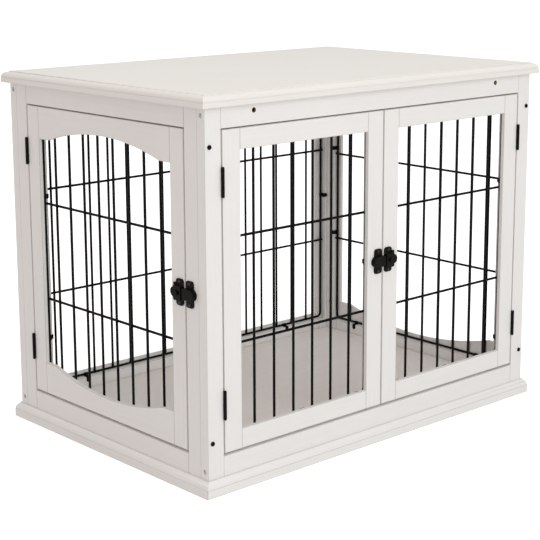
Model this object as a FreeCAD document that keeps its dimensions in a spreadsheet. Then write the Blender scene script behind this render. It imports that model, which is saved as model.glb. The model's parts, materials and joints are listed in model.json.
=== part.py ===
import FreeCAD, Part
import math
import os
import re

import Sketcher

# Dog crate end table: a painted wooden cabinet with a pair of wire doors in front, one wire door
# in the left side, and fixed wire panels in the back and the right side.
# X runs to the right, Y to the back, Z up. The origin is on the floor, under the middle of the top.

doc = FreeCAD.newDocument("DogCrateEndTable")
V = FreeCAD.Vector
X_AXIS, Y_AXIS, Z_AXIS = V(1, 0, 0), V(0, 1, 0), V(0, 0, 1)

# ---------------------------------------------------------------- driving sizes, millimetres

SIZES = {
    # table top
    "top_width": 805,
    "top_depth": 557,
    "overall_height": 634,
    "top_thickness": 20,
    "top_overhang": 12,
    "top_step_inset": 11,
    "top_step_height": 1.5,
    "top_edge_radius": 9,
    "top_lower_radius": 1,
    # cabinet frames
    "board_thickness": 18,
    "lip_thickness": 7,
    "front_post_width": 32,
    "back_post_reach": 22,
    "side_stile_width": 31,
    "top_rail_height": 34,
    "bottom_rail_top": 60,
    "bottom_rail_foot": 5,
    "fixed_arch_rise": 27,
    "arch_flat": 28,
    "tenon_length": 10,
    "tenon_thickness": 6,
    "tenon_shoulder": 5,
    # doors
    "door_side_gap": 2.6,
    "door_centre_gap": 2.4,
    "door_top_gap": 2,
    "door_bottom_gap": 4,
    "door_stile_width": 36,
    "side_door_stile_width": 33,
    "door_rail_height": 33,
    "side_arch_rise": 23,
    # wire panels
    "rim_wire_radius": 2.1,
    "bar_wire_radius": 1.8,
    "rim_bend_radius": 8,
    "weld_depth": 0.5,
    "bar_end_length": 1.5,
    "end_gap_share": 0.65,
    "front_wire_pitch": 42.7,
    "side_wire_pitch": 41.7,
    "back_wire_pitch": 42.6,
    "right_wire_pitch": 41,
    "door_bar_inset": 142,
    "back_bar_inset": 170,
    "right_bar_inset": 176,
    "door_wire_lap": 4,
    "side_door_wire_lap": 0.5,
    "back_wire_lap": 12,
    "right_wire_lap": 6.5,
    "fixed_rail_wire_lap": 7,
    "rabbet_clearance": 1.6,
    # wire clips
    "clip_thickness": 1,
    "clip_width": 8,
    "clip_tab_length": 11,
    "clip_end_gap": 0.3,
    "clip_clearance": 0.05,
    "clip_bar_offset": 12,
    "clip_corner_offset": 26,
    "clip_screw_length": 9,
    # hinges
    "hinge_length": 45,
    "hinge_inset": 80,
    "hinge_leaf_thickness": 1.1,
    "hinge_leaf_depth": 13,
    "hinge_knuckle_radius": 2.6,
    "hinge_knuckle_gap": 0.2,
    "hinge_pin_radius": 1.2,
    "hinge_pin_clearance": 0.05,
    "hinge_pin_head_radius": 2.1,
    "hinge_pin_head_height": 1.2,
    "hinge_face_clearance": 0.3,
    "hinge_screw_spacing": 26,
    "hinge_screw_length": 12,
    # slide latches
    "latch_plate_width": 18,
    "latch_plate_height": 43,
    "latch_plate_thickness": 2,
    "latch_plate_corner": 5,
    "latch_set_back": 2,
    "latch_housing_height": 22,
    "latch_housing_depth": 8.5,
    "latch_lug_length": 5,
    "latch_lug_offset": 9.5,
    "latch_lug_height": 5,
    "latch_lug_depth": 3.5,
    "latch_bolt_height": 16,
    "latch_bolt_thickness": 4,
    "latch_bolt_lift": 2.8,
    "latch_bolt_clearance": 0.1,
    "latch_rest_gap": 1,
    "latch_tail_length": 9,
    "latch_pocket_depth": 12,
    "latch_lobe_length": 6.4,
    "latch_stem_radius": 1.8,
    "latch_knob_radius": 4,
    "latch_knob_lift": 0.3,
    "latch_knob_height": 2,
    "latch_throw": 6,
    "latch_retract": 3,
    "latch_screw_spacing": 34,
    "latch_screw_length": 12,
    # floor
    "floor_height": 29,
    "floor_thickness": 9,
    "floor_edge_gap": 1,
    "floor_cleat_size": 15,
    "floor_screw_length": 27,
    "floor_screw_share": 0.6,
    # top cleats
    "cleat_offset": 291,
    "cleat_width": 24,
    "cleat_height": 22,
    "cleat_screw_offset": 150,
    "cleat_screw_length": 36,
    # plinth moulding
    "plinth_thickness": 10,
    "plinth_height": 27,
    "plinth_face_height": 15,
    "plinth_quirk": 0.8,
    "plinth_ledge": 2.5,
    "plinth_ledge_height": 1.5,
    "plinth_ovolo_radius": 13,
    # bolts and screws
    "bore_clearance": 0.05,
    "post_bolt_offset": 26,
    "post_bolt_radius": 2.5,
    "post_bolt_length": 32,
    "post_bolt_head_radius": 3.75,
    "post_bolt_head_height": 2.4,
    "barrel_nut_radius": 4,
    "barrel_nut_length": 13,
    "barrel_nut_depth": 10,
    "frame_screw_drop": 12,
    "frame_screw_lift": 39,
    "frame_screw_radius": 2,
    "frame_screw_length": 52,
    "frame_screw_head_radius": 3.6,
    "frame_screw_head_height": 3,
    "counterbore_radius": 4.2,
    "counterbore_depth": 5,
    "wood_screw_radius": 1.75,
    "wood_screw_head_radius": 3.4,
    "wood_screw_head_height": 1.8,
    "small_screw_radius": 1.3,
    "small_screw_head_radius": 2.4,
    "small_screw_head_height": 1.3,
}

sheet = doc.addObject("Spreadsheet::Sheet", "Sizes")
for row, (alias, size) in enumerate(SIZES.items(), start=1):
    sheet.set(f"A{row}", alias)
    sheet.set(f"B{row}", str(size))
    sheet.setAlias(f"B{row}", alias)
doc.recompute()

# Sizes that follow from the driving ones. Each name stands for its formula wherever it is used.
DERIVED = {
    "frame_half_x": "top_width / 2 - top_overhang",
    "frame_half_y": "top_depth / 2 - top_overhang",
    "frame_top": "overall_height - top_thickness",
    "inner_half_x": "frame_half_x - board_thickness",
    "inner_half_y": "frame_half_y - board_thickness",
    "top_rail_bottom": "frame_top - top_rail_height",
    "rabbet_depth": "board_thickness - lip_thickness",
    "rabbet_margin": "rim_wire_radius + rabbet_clearance",
    "wire_plane": "lip_thickness + rim_wire_radius",
    # openings and doors
    "back_post_width": "board_thickness + back_post_reach",
    "front_opening_half": "frame_half_x - front_post_width",
    "side_opening_half": "inner_half_y - side_stile_width",
    "back_opening_half": "frame_half_x - back_post_width",
    "door_bottom": "bottom_rail_top + door_bottom_gap",
    "door_top": "top_rail_bottom - door_top_gap",
    "window_bottom": "door_bottom + door_rail_height",
    "window_top": "door_top - door_rail_height",
    "front_door_outer": "front_opening_half - door_side_gap",
    "front_door_inner": "door_centre_gap / 2",
    "front_door_middle": "(front_door_outer + front_door_inner) / 2",
    "side_door_half": "side_opening_half - door_side_gap",
    # wire panels, over the centre line of the rim
    "front_panel_width": "front_door_outer - front_door_inner - 2 * door_stile_width + 2 * door_wire_lap",
    "side_panel_width": "2 * side_door_half - 2 * side_door_stile_width + 2 * side_door_wire_lap",
    "back_panel_width": "2 * back_opening_half + 2 * back_wire_lap",
    "right_panel_width": "2 * side_opening_half + 2 * right_wire_lap",
    "door_panel_bottom": "window_bottom - door_wire_lap",
    "door_panel_height": "window_top - window_bottom + 2 * door_wire_lap",
    "fixed_panel_bottom": "bottom_rail_top - fixed_rail_wire_lap",
    "back_side_tab": "back_post_reach - back_wire_lap - rabbet_margin - clip_end_gap",
    "fixed_panel_height": "top_rail_bottom - bottom_rail_top + 2 * fixed_rail_wire_lap",
    # hardware
    "hinge_axis_offset": "door_side_gap / 2",
    "hinge_stand_off": "hinge_knuckle_radius + hinge_face_clearance",
    "hinge_low": "door_bottom + hinge_inset",
    "hinge_high": "door_top - hinge_inset",
    "latch_level": "(door_bottom + door_top) / 2",
    "latch_stem_rest": "latch_plate_width / 2 + (latch_throw - latch_retract) / 2",
    "post_bolt_low": "bottom_rail_top + post_bolt_offset",
    "post_bolt_high": "top_rail_bottom - post_bolt_offset",
    "frame_screw_high": "frame_top - frame_screw_drop",
}

SIZE_NAME = re.compile(r"[a-z]+(?:_[a-z]+)+")


def bind(text):
    """Write a formula of size names as an expression on the sheet."""
    def spell(match):
        name = match.group()
        return f"({bind(DERIVED[name])})" if name in DERIVED else f"Sizes.{name}"
    return SIZE_NAME.sub(spell, text)


def value(text):
    """The number that a formula of size names gives."""
    return float(sheet.evalExpression(bind(text)))


# ---------------------------------------------------------------- building blocks

boards = {}      # painted wood that fasteners bore into: label to object
pieces = []      # finished sub-parts


def place(item, x, y, z):
    for axis, text in zip("xyz", (x, y, z)):
        item.setExpression(f"Placement.Base.{axis}", bind(text))
    return item


def box(name, low, size):
    """A box from its low corner and its lengths along X, Y and Z, all as formulas."""
    item = doc.addObject("Part::Box", name)
    for side, text in zip(("Length", "Width", "Height"), size):
        item.setExpression(side, bind(text))
    return place(item, *low)


def disc(name, middle, radius, height):
    """An upright cylinder from the middle of its lower face."""
    item = doc.addObject("Part::Cylinder", name)
    item.setExpression("Radius", bind(radius))
    item.setExpression("Height", bind(height))
    return place(item, *middle)


def fuse(name, items):
    item = doc.addObject("Part::MultiFuse", name)
    item.Shapes = items
    return item


def cut(name, base, tools):
    item = doc.addObject("Part::Cut", name)
    item.Base = base
    item.Tool = tools[0] if len(tools) == 1 else fuse(name + "Tools", tools)
    return item


def finish(label, item):
    item.Label = label
    pieces.append(item)


def finish_group(label, shapes):
    """A group of separate small pieces of one kind as one sub-part."""
    item = doc.addObject("Part::Feature", label.title().replace("_", ""))
    item.Shape = Part.makeCompound(shapes)
    finish(label, item)


def sketch_outline(body, name, plane, points, arcs=None):
    """A closed outline on one of the body's own planes, bound to the sheet.

    points are pairs of formulas. arcs maps a side's number to its radius formula and to 1 or -1,
    the hand on which the side bulges as the outline is followed.
    """
    arcs = arcs or {}
    sketch = body.newObject("Sketcher::SketchObject", name)
    origin = next(feature for feature in body.Origin.OriginFeatures if feature.Role == plane)
    sketch.AttachmentSupport = [(origin, "")]
    sketch.MapMode = "FlatFace"
    corners = [V(value(x), value(y), 0) for x, y in points]
    count = len(corners)
    for side, start in enumerate(corners):
        end = corners[(side + 1) % count]
        if side not in arcs:
            sketch.addGeometry(Part.LineSegment(start, end))
            continue
        radius, hand = value(arcs[side][0]), arcs[side][1]
        chord = end - start
        across = V(-chord.y, chord.x, 0).normalize()
        rise = radius - math.sqrt(radius ** 2 - (chord.Length / 2) ** 2)
        sketch.addGeometry(Part.Arc(start, (start + end) * 0.5 + across * (hand * rise), end))
    # an arc is stored anticlockwise, so its first vertex may be its far end along the outline
    first = [1 if sketch.getPoint(side, 1).distanceToPoint(corner) < 1e-6 else 2
             for side, corner in enumerate(corners)]
    for side in range(count):
        following = (side + 1) % count
        sketch.addConstraint(Sketcher.Constraint(
            "Coincident", side, 3 - first[side], following, first[following]))
    for side, point in enumerate(points):
        for kind, text in zip(("DistanceX", "DistanceY"), point):
            number = sketch.addConstraint(
                Sketcher.Constraint(kind, -1, 1, side, first[side], value(text)))
            sketch.setExpression(f"Constraints[{number}]", bind(text))
    for side, (radius, _hand) in arcs.items():
        number = sketch.addConstraint(Sketcher.Constraint("Radius", side, value(radius)))
        sketch.setExpression(f"Constraints[{number}]", bind(radius))
    return sketch


def pad(body, name, sketch, length, midplane=False):
    item = body.newObject("PartDesign::Pad", name)
    item.Profile = sketch
    item.setExpression("Length", bind(length))
    item.Midplane = midplane
    body.Tip = item
    doc.recompute()
    return item


def round_edges(body, name, base, height, radius):
    """Fillet the straight edges of the solid that lie at one height."""
    names = [f"Edge{number}" for number, edge in enumerate(base.Shape.Edges, start=1)
             if max(abs(edge.BoundBox.ZMin - height), abs(edge.BoundBox.ZMax - height)) < 1e-6]
    item = body.newObject("PartDesign::Fillet", name)
    item.Base = (base, names)
    item.setExpression("Radius", bind(radius))
    body.Tip = item
    doc.recompute()
    return item


# ---------------------------------------------------------------- table top

def rectangle(half_x, half_y):
    return [(f"-({half_x})", f"-({half_y})"), (half_x, f"-({half_y})"),
            (half_x, half_y), (f"-({half_x})", half_y)]


def make_table_top():
    """A slab with a quarter-round edge, and the low step on it that frames the flat of the top."""
    body = doc.addObject("PartDesign::Body", "TableTop")
    outline = sketch_outline(body, "TopOutline", "XY_Plane", rectangle("top_width / 2", "top_depth / 2"))
    slab = pad(body, "TopSlab", outline, "top_thickness - top_step_height")
    ovolo = round_edges(body, "TopOvolo", slab, value("top_thickness - top_step_height"),
                        "top_edge_radius")
    round_edges(body, "TopLowerEase", ovolo, 0, "top_lower_radius")
    step = sketch_outline(body, "TopStepOutline", "XY_Plane",
                          rectangle("top_width / 2 - top_step_inset", "top_depth / 2 - top_step_inset"))
    pad(body, "TopStep", step, "top_thickness")
    return place(body, "0", "0", "frame_top")


# ---------------------------------------------------------------- framed boards

# depths into a wall, from its outer face: (start, thickness)
WHOLE = ("0", "board_thickness")
RABBET = ("lip_thickness", "rabbet_depth")
TONGUE = ("lip_thickness + (rabbet_depth - tenon_thickness) / 2", "tenon_thickness")

SIDES = {"front": -1, "back": 1, "left": -1, "right": 1}


def wall_box(name, wall, along, depth, height):
    """A box in one wall of the cabinet: along it, in from its outer face, and up, as (low, size)."""
    face = "frame_half_y" if wall in ("front", "back") else "frame_half_x"
    start, thick = depth
    across = f"-({face}) + {start}" if SIDES[wall] < 0 else f"{face} - ({start}) - ({thick})"
    if wall in ("front", "back"):
        return box(name, (along[0], across, height[0]), (along[1], thick, height[1]))
    return box(name, (across, along[0], height[0]), (thick, along[1], height[1]))


def arch_radius(half, rise):
    """Radius of an arch of this rise that spans the rail between its two flats."""
    span = f"(({half}) - arch_flat)"
    return f"({span} * {span} + {rise} * {rise}) / (2 * {rise})"


def arched_board(name, wall, half, back, flat, rise, hand):
    """A rail whose free edge is an arch between two short flats, padded from a sketch."""
    points = [(f"-({half})", back), (f"-({half})", flat), (f"-({half}) + arch_flat", flat),
              (f"({half}) - arch_flat", flat), (half, flat), (half, back)]
    body = doc.addObject("PartDesign::Body", name)
    sketch = sketch_outline(body, name + "Outline", "YZ_Plane", points,
                            {2: (arch_radius(half, rise), hand)})
    pad(body, name + "Pad", sketch, "board_thickness")
    low_x = "-(frame_half_x)" if SIDES[wall] < 0 else "frame_half_x - board_thickness"
    return place(body, low_x, "0", "0")


def make_frame(labels, wall, edges, stile_width, stile_heights, rail_heights,
               laps=None, arch_rise=None, tenoned=False):
    """Two stiles and two rails round an opening.

    labels are for the low stile, high stile, bottom rail and top rail. edges are the frame's low and
    high coordinates along the wall, stile_heights and rail_heights pairs of low and high formulas.
    laps are the rabbet's widths beside the stiles and beside the rails.
    """
    low, high = (f"({text})" for text in edges)
    inner_low, inner_high = f"({low} + {stile_width})", f"({high} - {stile_width})"
    opening = f"({inner_high} - {inner_low})"
    (bottom_low, bottom_high), (top_low, top_high) = rail_heights
    side_lap, rail_lap = (f"({text} + rabbet_margin)" for text in laps) if laps else ("0", "0")
    name = "".join(word.title() for word in labels[0].split("_")[:-1])
    rails = {
        "Bottom": (bottom_low, bottom_high, f"({bottom_high} - {rail_lap})", bottom_low),
        "Top": (top_low, top_high, top_low, f"({top_low} + {rail_lap})"),
    }

    def tongue(rail, kind):
        """The tenon that runs the length of a rail and into both stiles, or its two mortises."""
        solid_low = rails[rail][3]
        solid_high = rails[rail][2] if rail == "Bottom" else top_high
        return wall_box(f"{name}{rail}{kind}", wall,
                        (f"{inner_low} - tenon_length", f"{opening} + 2 * tenon_length"), TONGUE,
                        (f"{solid_low} + tenon_shoulder",
                         f"{solid_high} - ({solid_low}) - 2 * tenon_shoulder"))

    stiles = ((labels[0], low, f"{inner_low} - {side_lap}"), (labels[1], inner_high, inner_high))
    for label, start, rabbet_start in stiles:
        title = label.title().replace("_", "")
        board = wall_box(title + "Board", wall, (start, stile_width), WHOLE,
                         (stile_heights[0], f"{stile_heights[1]} - ({stile_heights[0]})"))
        tools = []
        if laps:
            tools.append(wall_box(title + "Rabbet", wall, (rabbet_start, side_lap), RABBET,
                                  (f"{bottom_high} - {rail_lap}",
                                   f"{top_low} - ({bottom_high}) + 2 * {rail_lap}")))
        if tenoned:
            tools += [tongue(rail, f"Mortise{title}") for rail in rails]
        boards[label] = cut(title, board, tools) if tools else board

    for label, rail in zip(labels[2:], rails):
        rail_low, rail_high, rabbet_low, _solid = rails[rail]
        title = label.title().replace("_", "")
        if arch_rise:
            back, edge, rise, hand = ((rail_low, rail_high, arch_rise, -1) if rail == "Bottom"
                                      else (rail_high, rail_low, f"-({arch_rise})", 1))
            board = arched_board(title + "Board", wall, f"({inner_high})", back,
                                 f"{edge} + {rise}", arch_rise, hand)
            rabbet_low = rabbet_low if rail == "Bottom" else f"{rail_low} - {arch_rise}"
            rabbet_size = f"{rail_lap} + {arch_rise}"
        else:
            board = wall_box(title + "Board", wall, (inner_low, opening), WHOLE,
                             (rail_low, f"{rail_high} - ({rail_low})"))
            rabbet_size = rail_lap
        if laps:
            board = cut(title + "Rabbeted", board, [
                wall_box(title + "Rabbet", wall, (inner_low, opening), RABBET,
                         (rabbet_low, rabbet_size))])
        boards[label] = fuse(title, [board, tongue(rail, "Tenon")]) if tenoned else board


def frame_labels(prefix, low, high):
    return [f"{prefix}_{low}", f"{prefix}_{high}", f"{prefix}_bottom_rail", f"{prefix}_top_rail"]


CABINET_RAILS = (("bottom_rail_foot", "bottom_rail_top"), ("top_rail_bottom", "frame_top"))
DOOR_RAILS = (("door_bottom", "window_bottom"), ("window_top", "door_top"))
FRONT_DOORS = {
    "left_door": (("-(front_door_outer)", "-(front_door_inner)"), ("hinge_stile", "meeting_stile"), -1),
    "right_door": (("front_door_inner", "front_door_outer"), ("meeting_stile", "hinge_stile"), 1),
}


def make_boards():
    boards["table_top"] = make_table_top()
    full_height = ("0", "frame_top")
    width = ("-(frame_half_x)", "frame_half_x")
    depth = ("-(inner_half_y)", "inner_half_y")
    make_frame(frame_labels("front", "left_post", "right_post"), "front", width,
               "front_post_width", full_height, CABINET_RAILS)
    make_frame(frame_labels("back", "left_post", "right_post"), "back", width,
               "back_post_width", full_height, CABINET_RAILS,
               laps=("back_wire_lap", "fixed_rail_wire_lap"))
    make_frame(frame_labels("left", "front_stile", "rear_stile"), "left", depth,
               "side_stile_width", full_height, CABINET_RAILS, tenoned=True)
    make_frame(frame_labels("right", "front_stile", "rear_stile"), "right", depth,
               "side_stile_width", full_height, CABINET_RAILS,
               laps=("right_wire_lap", "fixed_rail_wire_lap"), arch_rise="fixed_arch_rise",
               tenoned=True)
    for door, (edges, stiles, _side) in FRONT_DOORS.items():
        make_frame(frame_labels(door, *stiles), "front", edges, "door_stile_width",
                   ("door_bottom", "door_top"), DOOR_RAILS,
                   laps=("door_wire_lap", "door_wire_lap"), tenoned=True)
    make_frame(frame_labels("side_door", "latch_stile", "hinge_stile"), "left",
               ("-(side_door_half)", "side_door_half"), "side_door_stile_width",
               ("door_bottom", "door_top"), DOOR_RAILS,
               laps=("side_door_wire_lap", "door_wire_lap"), arch_rise="side_arch_rise", tenoned=True)


# ---------------------------------------------------------------- top cleats, floor, plinth

def make_cleats():
    cleats = [box(f"TopCleat{name}",
                  (f"{middle} - cleat_width / 2", "-(inner_half_y)", "frame_top - cleat_height"),
                  ("cleat_width", "2 * inner_half_y", "cleat_height"))
              for name, middle in (("Left", "-(cleat_offset)"), ("Right", "cleat_offset"))]
    boards["top_cleats"] = fuse("TopCleats", cleats)


def make_floor():
    half_x, half_y = "(inner_half_x - floor_edge_gap)", "(inner_half_y - floor_edge_gap)"
    panel_low = "floor_height - floor_thickness"
    boards["floor_panel"] = box("FloorPanel", (f"-{half_x}", f"-{half_y}", panel_low),
                                (f"2 * {half_x}", f"2 * {half_y}", "floor_thickness"))
    size = "floor_cleat_size"
    lift = f"{panel_low} - {size}"
    short_half = f"({half_y} - {size})"
    cleats = [
        box("FloorCleatFront", (f"-{half_x}", "-(inner_half_y)", lift), (f"2 * {half_x}", size, size)),
        box("FloorCleatBack", (f"-{half_x}", f"inner_half_y - {size}", lift),
            (f"2 * {half_x}", size, size)),
        box("FloorCleatLeft", ("-(inner_half_x)", f"-{short_half}", lift),
            (size, f"2 * {short_half}", size)),
        box("FloorCleatRight", (f"inner_half_x - {size}", f"-{short_half}", lift),
            (size, f"2 * {short_half}", size)),
    ]
    boards["floor_cleats"] = fuse("FloorCleats", cleats)


def make_plinth(label, angle, near, half_length):
    """One mitred length of moulding, made along the front and then turned to its wall."""
    title = label.title().replace("_", "")
    face = "plinth_thickness"
    profile = [("0", "0"), (face, "0"), (face, "plinth_face_height"),
               (f"{face} - plinth_quirk", "plinth_face_height"),
               ("plinth_ledge", "plinth_height - plinth_ledge_height"),
               ("plinth_ledge", "plinth_height"), ("0", "plinth_height")]
    points = [(f"-({near} + {out})", up) for out, up in profile]
    body = doc.addObject("PartDesign::Body", title + "Length")
    sketch = sketch_outline(body, title + "Profile", "YZ_Plane", points,
                            {3: ("plinth_ovolo_radius", 1)})
    pad(body, title + "Pad", sketch, f"2 * ({half_length} + {face})", midplane=True)
    mitres = []
    for end, sign, turn in (("Low", "-", 135), ("High", "", -45)):
        mitre = box(f"{title}Mitre{end}",
                    (f"{sign}({half_length} - {face})", f"{face} - ({near})", "0"),
                    (f"4 * {face}", f"4 * {face}", "plinth_height"))
        mitre.Placement = FreeCAD.Placement(mitre.Placement.Base, FreeCAD.Rotation(Z_AXIS, turn))
        mitres.append(mitre)
    item = cut(title, body, mitres)
    item.Placement = FreeCAD.Placement(V(), FreeCAD.Rotation(Z_AXIS, angle))
    boards[label] = item


# ---------------------------------------------------------------- places on the walls

def wall_placement(wall, along, depth, height):
    """A frame on a wall: X along it, Y straight into the cabinet, Z up. All three are formulas."""
    face = value("frame_half_y" if wall in ("front", "back") else "frame_half_x") - value(depth)
    turn = {"front": 0, "back": 180, "left": -90, "right": 90}[wall]
    spot = {"front": V(value(along), -face, value(height)), "back": V(value(along), face, value(height)),
            "left": V(-face, value(along), value(height)), "right": V(face, value(along), value(height))}
    return FreeCAD.Placement(spot[wall], FreeCAD.Rotation(Z_AXIS, turn))


def moved(shape, placement):
    copy = shape.copy()
    copy.Placement = placement.multiply(copy.Placement)
    return copy


# ---------------------------------------------------------------- screws and what they bore

bores = []       # solids that every board they reach is cut by
screws = {}      # label of a group to its screws


def screw_shape(kind, length):
    """A screw with its head's seat at the origin: the shank runs down -Z, the head stands on +Z."""
    radius, head_radius = value(f"{kind}_radius"), value(f"{kind}_head_radius")
    head_height = value(f"{kind}_head_height")
    shank = Part.makeCylinder(radius, length, V(0, 0, -length))
    head = Part.makeCylinder(head_radius, head_height)
    rim = [edge for edge in head.Edges if abs(edge.BoundBox.ZMin - head_height) < 1e-6
           and edge.BoundBox.XLength > head_radius]
    return head.makeFillet(min(head_height, head_radius) * 0.45, rim).fuse(shank)


def drive_screw(group, kind, length_name, placement, counterbored=False):
    """Put a screw in and remember its bore."""
    length = value(length_name)
    screws.setdefault(group, []).append(moved(screw_shape(kind, length), placement))
    clearance = value("bore_clearance")
    bore = Part.makeCylinder(value(f"{kind}_radius") + clearance, length + 2 * clearance,
                             V(0, 0, -length - clearance))
    bores.append(moved(bore, placement))
    if counterbored:
        pocket = Part.makeCylinder(value("counterbore_radius"), value("counterbore_depth") + 1)
        bores.append(moved(pocket, placement))


def facing(spot, direction):
    """A placement at a spot whose Z axis, the way a screw's head faces, points along direction."""
    return FreeCAD.Placement(spot, FreeCAD.Rotation(Z_AXIS, direction))


def add_frame_screws():
    """Counterbored screws: through the posts into the rails' ends, and through the rails into the cleats."""
    middle_y = value("frame_half_y - board_thickness / 2")
    seat_x = value("frame_half_x - counterbore_depth")
    for side_x in (-1, 1):
        for side_y in (-1, 1):
            for height in ("frame_screw_lift", "frame_screw_high"):
                spot = V(side_x * seat_x, side_y * middle_y, value(height))
                drive_screw("frame_screws", "frame_screw", "frame_screw_length",
                            facing(spot, X_AXIS * side_x), counterbored=True)
            spot = V(side_x * value("cleat_offset"),
                     side_y * value("frame_half_y - counterbore_depth"),
                     value("frame_top - cleat_height / 2"))
            drive_screw("frame_screws", "frame_screw", "frame_screw_length",
                        facing(spot, Y_AXIS * side_y), counterbored=True)


def add_post_bolts():
    """Bolts through the posts into the side frames' stiles, each drawn up by a barrel nut."""
    nuts = []
    middle_x = value("frame_half_x - board_thickness / 2")
    nut_length, nut_radius = value("barrel_nut_length"), value("barrel_nut_radius")
    clearance = value("bore_clearance")
    for side_x in (-1, 1):
        for side_y in (-1, 1):
            for height in (value("post_bolt_low"), value("post_bolt_high")):
                seat = V(side_x * middle_x, side_y * value("frame_half_y"), height)
                drive_screw("post_bolts", "post_bolt", "post_bolt_length",
                            facing(seat, Y_AXIS * side_y))
                nut_y = side_y * value("inner_half_y - barrel_nut_depth")
                outer_end = V(side_x * (middle_x + nut_length / 2), nut_y, height)
                inward = X_AXIS * -side_x
                nut = Part.makeCylinder(nut_radius, nut_length, outer_end, inward)
                thread = Part.makeCylinder(value("post_bolt_radius") + clearance, 4 * nut_radius,
                                           V(side_x * middle_x, nut_y - 2 * nut_radius, height), Y_AXIS)
                nuts.append(nut.cut(thread))
                depth = value("frame_half_x") - abs(outer_end.x)
                bores.append(Part.makeCylinder(nut_radius + clearance,
                                               value("board_thickness") - depth + clearance,
                                               outer_end - inward * clearance, inward))
    finish_group("barrel_nuts", nuts)


def add_wood_screws():
    """Screws that hold the top on its cleats and the floor cleats on the bottom rails."""
    for side_x in (-1, 1):
        for side_y in (-1, 1):
            spot = V(side_x * value("cleat_offset"), side_y * value("cleat_screw_offset"),
                     value("frame_top - cleat_height"))
            drive_screw("wood_screws", "wood_screw", "cleat_screw_length", facing(spot, -Z_AXIS))
    level = value("floor_height - floor_thickness - floor_cleat_size / 2")
    for wall in SIDES:
        crosswise = wall in ("front", "back")
        span, face = ("inner_half_x", "inner_half_y") if crosswise else ("inner_half_y", "inner_half_x")
        seat = value(f"{face} - floor_cleat_size")
        for end in (-1, 1):
            along = end * value(f"{span} * floor_screw_share")
            if crosswise:
                spot, head = V(along, SIDES[wall] * seat, level), Y_AXIS * -SIDES[wall]
            else:
                spot, head = V(SIDES[wall] * seat, along, level), X_AXIS * -SIDES[wall]
            drive_screw("wood_screws", "wood_screw", "floor_screw_length", facing(spot, head))


# ---------------------------------------------------------------- wire panels and clips

def rim_shape(width, height):
    """One round wire bent into a rectangle, centred on X, with its foot at Z = 0."""
    bend, radius = value("rim_bend_radius"), value("rim_wire_radius")
    half = width / 2
    turns = [V(half - bend, 0, bend), V(half - bend, 0, height - bend),
             V(bend - half, 0, height - bend), V(bend - half, 0, bend)]
    edges = []
    for number, centre in enumerate(turns):
        start_angle = math.radians(-90 + 90 * number)
        points = [centre + V(math.cos(angle), 0, math.sin(angle)) * bend
                  for angle in (start_angle, start_angle + math.pi / 4, start_angle + math.pi / 2)]
        if edges:
            edges.append(Part.LineSegment(edges[-1].Vertexes[-1].Point, points[0]).toShape())
        edges.append(Part.Arc(*points).toShape())
    edges.append(Part.LineSegment(edges[-1].Vertexes[-1].Point, edges[0].Vertexes[0].Point).toShape())
    path = Part.Wire(Part.sortEdges(edges)[0])
    start = path.Edges[0].Vertexes[0].Point
    section = Part.Wire(Part.makeCircle(radius, start, path.Edges[0].tangentAt(
        path.Edges[0].FirstParameter)))
    return path.makePipeShell([section], True, False)


def upright_count(width, pitch):
    """As many upright wires as leave a fair gap between the outer ones and the rim."""
    return int(width / pitch - 2 * value("end_gap_share")) + 1


def gap_middle(x, width, pitch):
    """The middle of the gap between upright wires that is nearest to x."""
    half_step = 0.5 if upright_count(width, pitch) % 2 else 0
    return (round(x / pitch - half_step) + half_step) * pitch


def wire_panel(width, height, pitch, bar_inset):
    """A welded panel: rim, upright wires in the rim's plane, and two bars laid over them inside."""
    radius = value("bar_wire_radius")
    count = upright_count(width, pitch)
    wires = []
    for number in range(count):
        x = (number - (count - 1) / 2) * pitch
        wires.append(Part.makeCylinder(radius, height, V(x, 0, 0)))
    bar_plane = 2 * radius - value("weld_depth")
    reach = width / 2 + value("bar_end_length")
    for z in (bar_inset, height - bar_inset):
        wires.append(Part.makeCylinder(radius, 2 * reach, V(-reach, bar_plane, z), X_AXIS))
    return rim_shape(width, height).multiFuse(wires)


def clip_shape(tab_length):
    """A bent strap that hooks over the rim wire at the origin and lies on the board's inner face.

    X points away from the window, Y into the cabinet, Z along the wire.
    """
    thick, width = value("clip_thickness"), value("clip_width")
    inner = value("rim_wire_radius + clip_clearance")
    outer = inner + thick
    face = value("board_thickness - wire_plane")
    tab_start = value("rabbet_margin")
    low = -width / 2
    ring = Part.makeCylinder(outer, width, V(0, 0, low)).cut(Part.makeCylinder(inner, width, V(0, 0, low)))
    hook = ring.common(Part.makeBox(2 * outer, outer, width, V(-outer, 0, low)))
    leg = Part.makeBox(thick, face + thick, width, V(inner, 0, low))
    tab = Part.makeBox(tab_start - inner + tab_length, thick, width, V(inner, face, low))
    strap = hook.fuse([leg, tab])
    hole = Part.makeCylinder(value("small_screw_radius + bore_clearance"), 4 * thick,
                             V(tab_start + tab_length / 2, face - thick, 0), Y_AXIS)
    return strap.cut(hole)


# panel: wall, middle along it, width, height, foot, pitch of the uprights, inset of the bars
WIRE_PANELS = {
    "left_door": ("front", "-(front_door_middle)", "front_panel_width", "door_panel_height",
                  "door_panel_bottom", "front_wire_pitch", "door_bar_inset"),
    "right_door": ("front", "front_door_middle", "front_panel_width", "door_panel_height",
                   "door_panel_bottom", "front_wire_pitch", "door_bar_inset"),
    "side_door": ("left", "0", "side_panel_width", "door_panel_height",
                  "door_panel_bottom", "side_wire_pitch", "door_bar_inset"),
    "back": ("back", "0", "back_panel_width", "fixed_panel_height",
             "fixed_panel_bottom", "back_wire_pitch", "back_bar_inset"),
    "right": ("right", "0", "right_panel_width", "fixed_panel_height",
              "fixed_panel_bottom", "right_wire_pitch", "right_bar_inset"),
}

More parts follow.
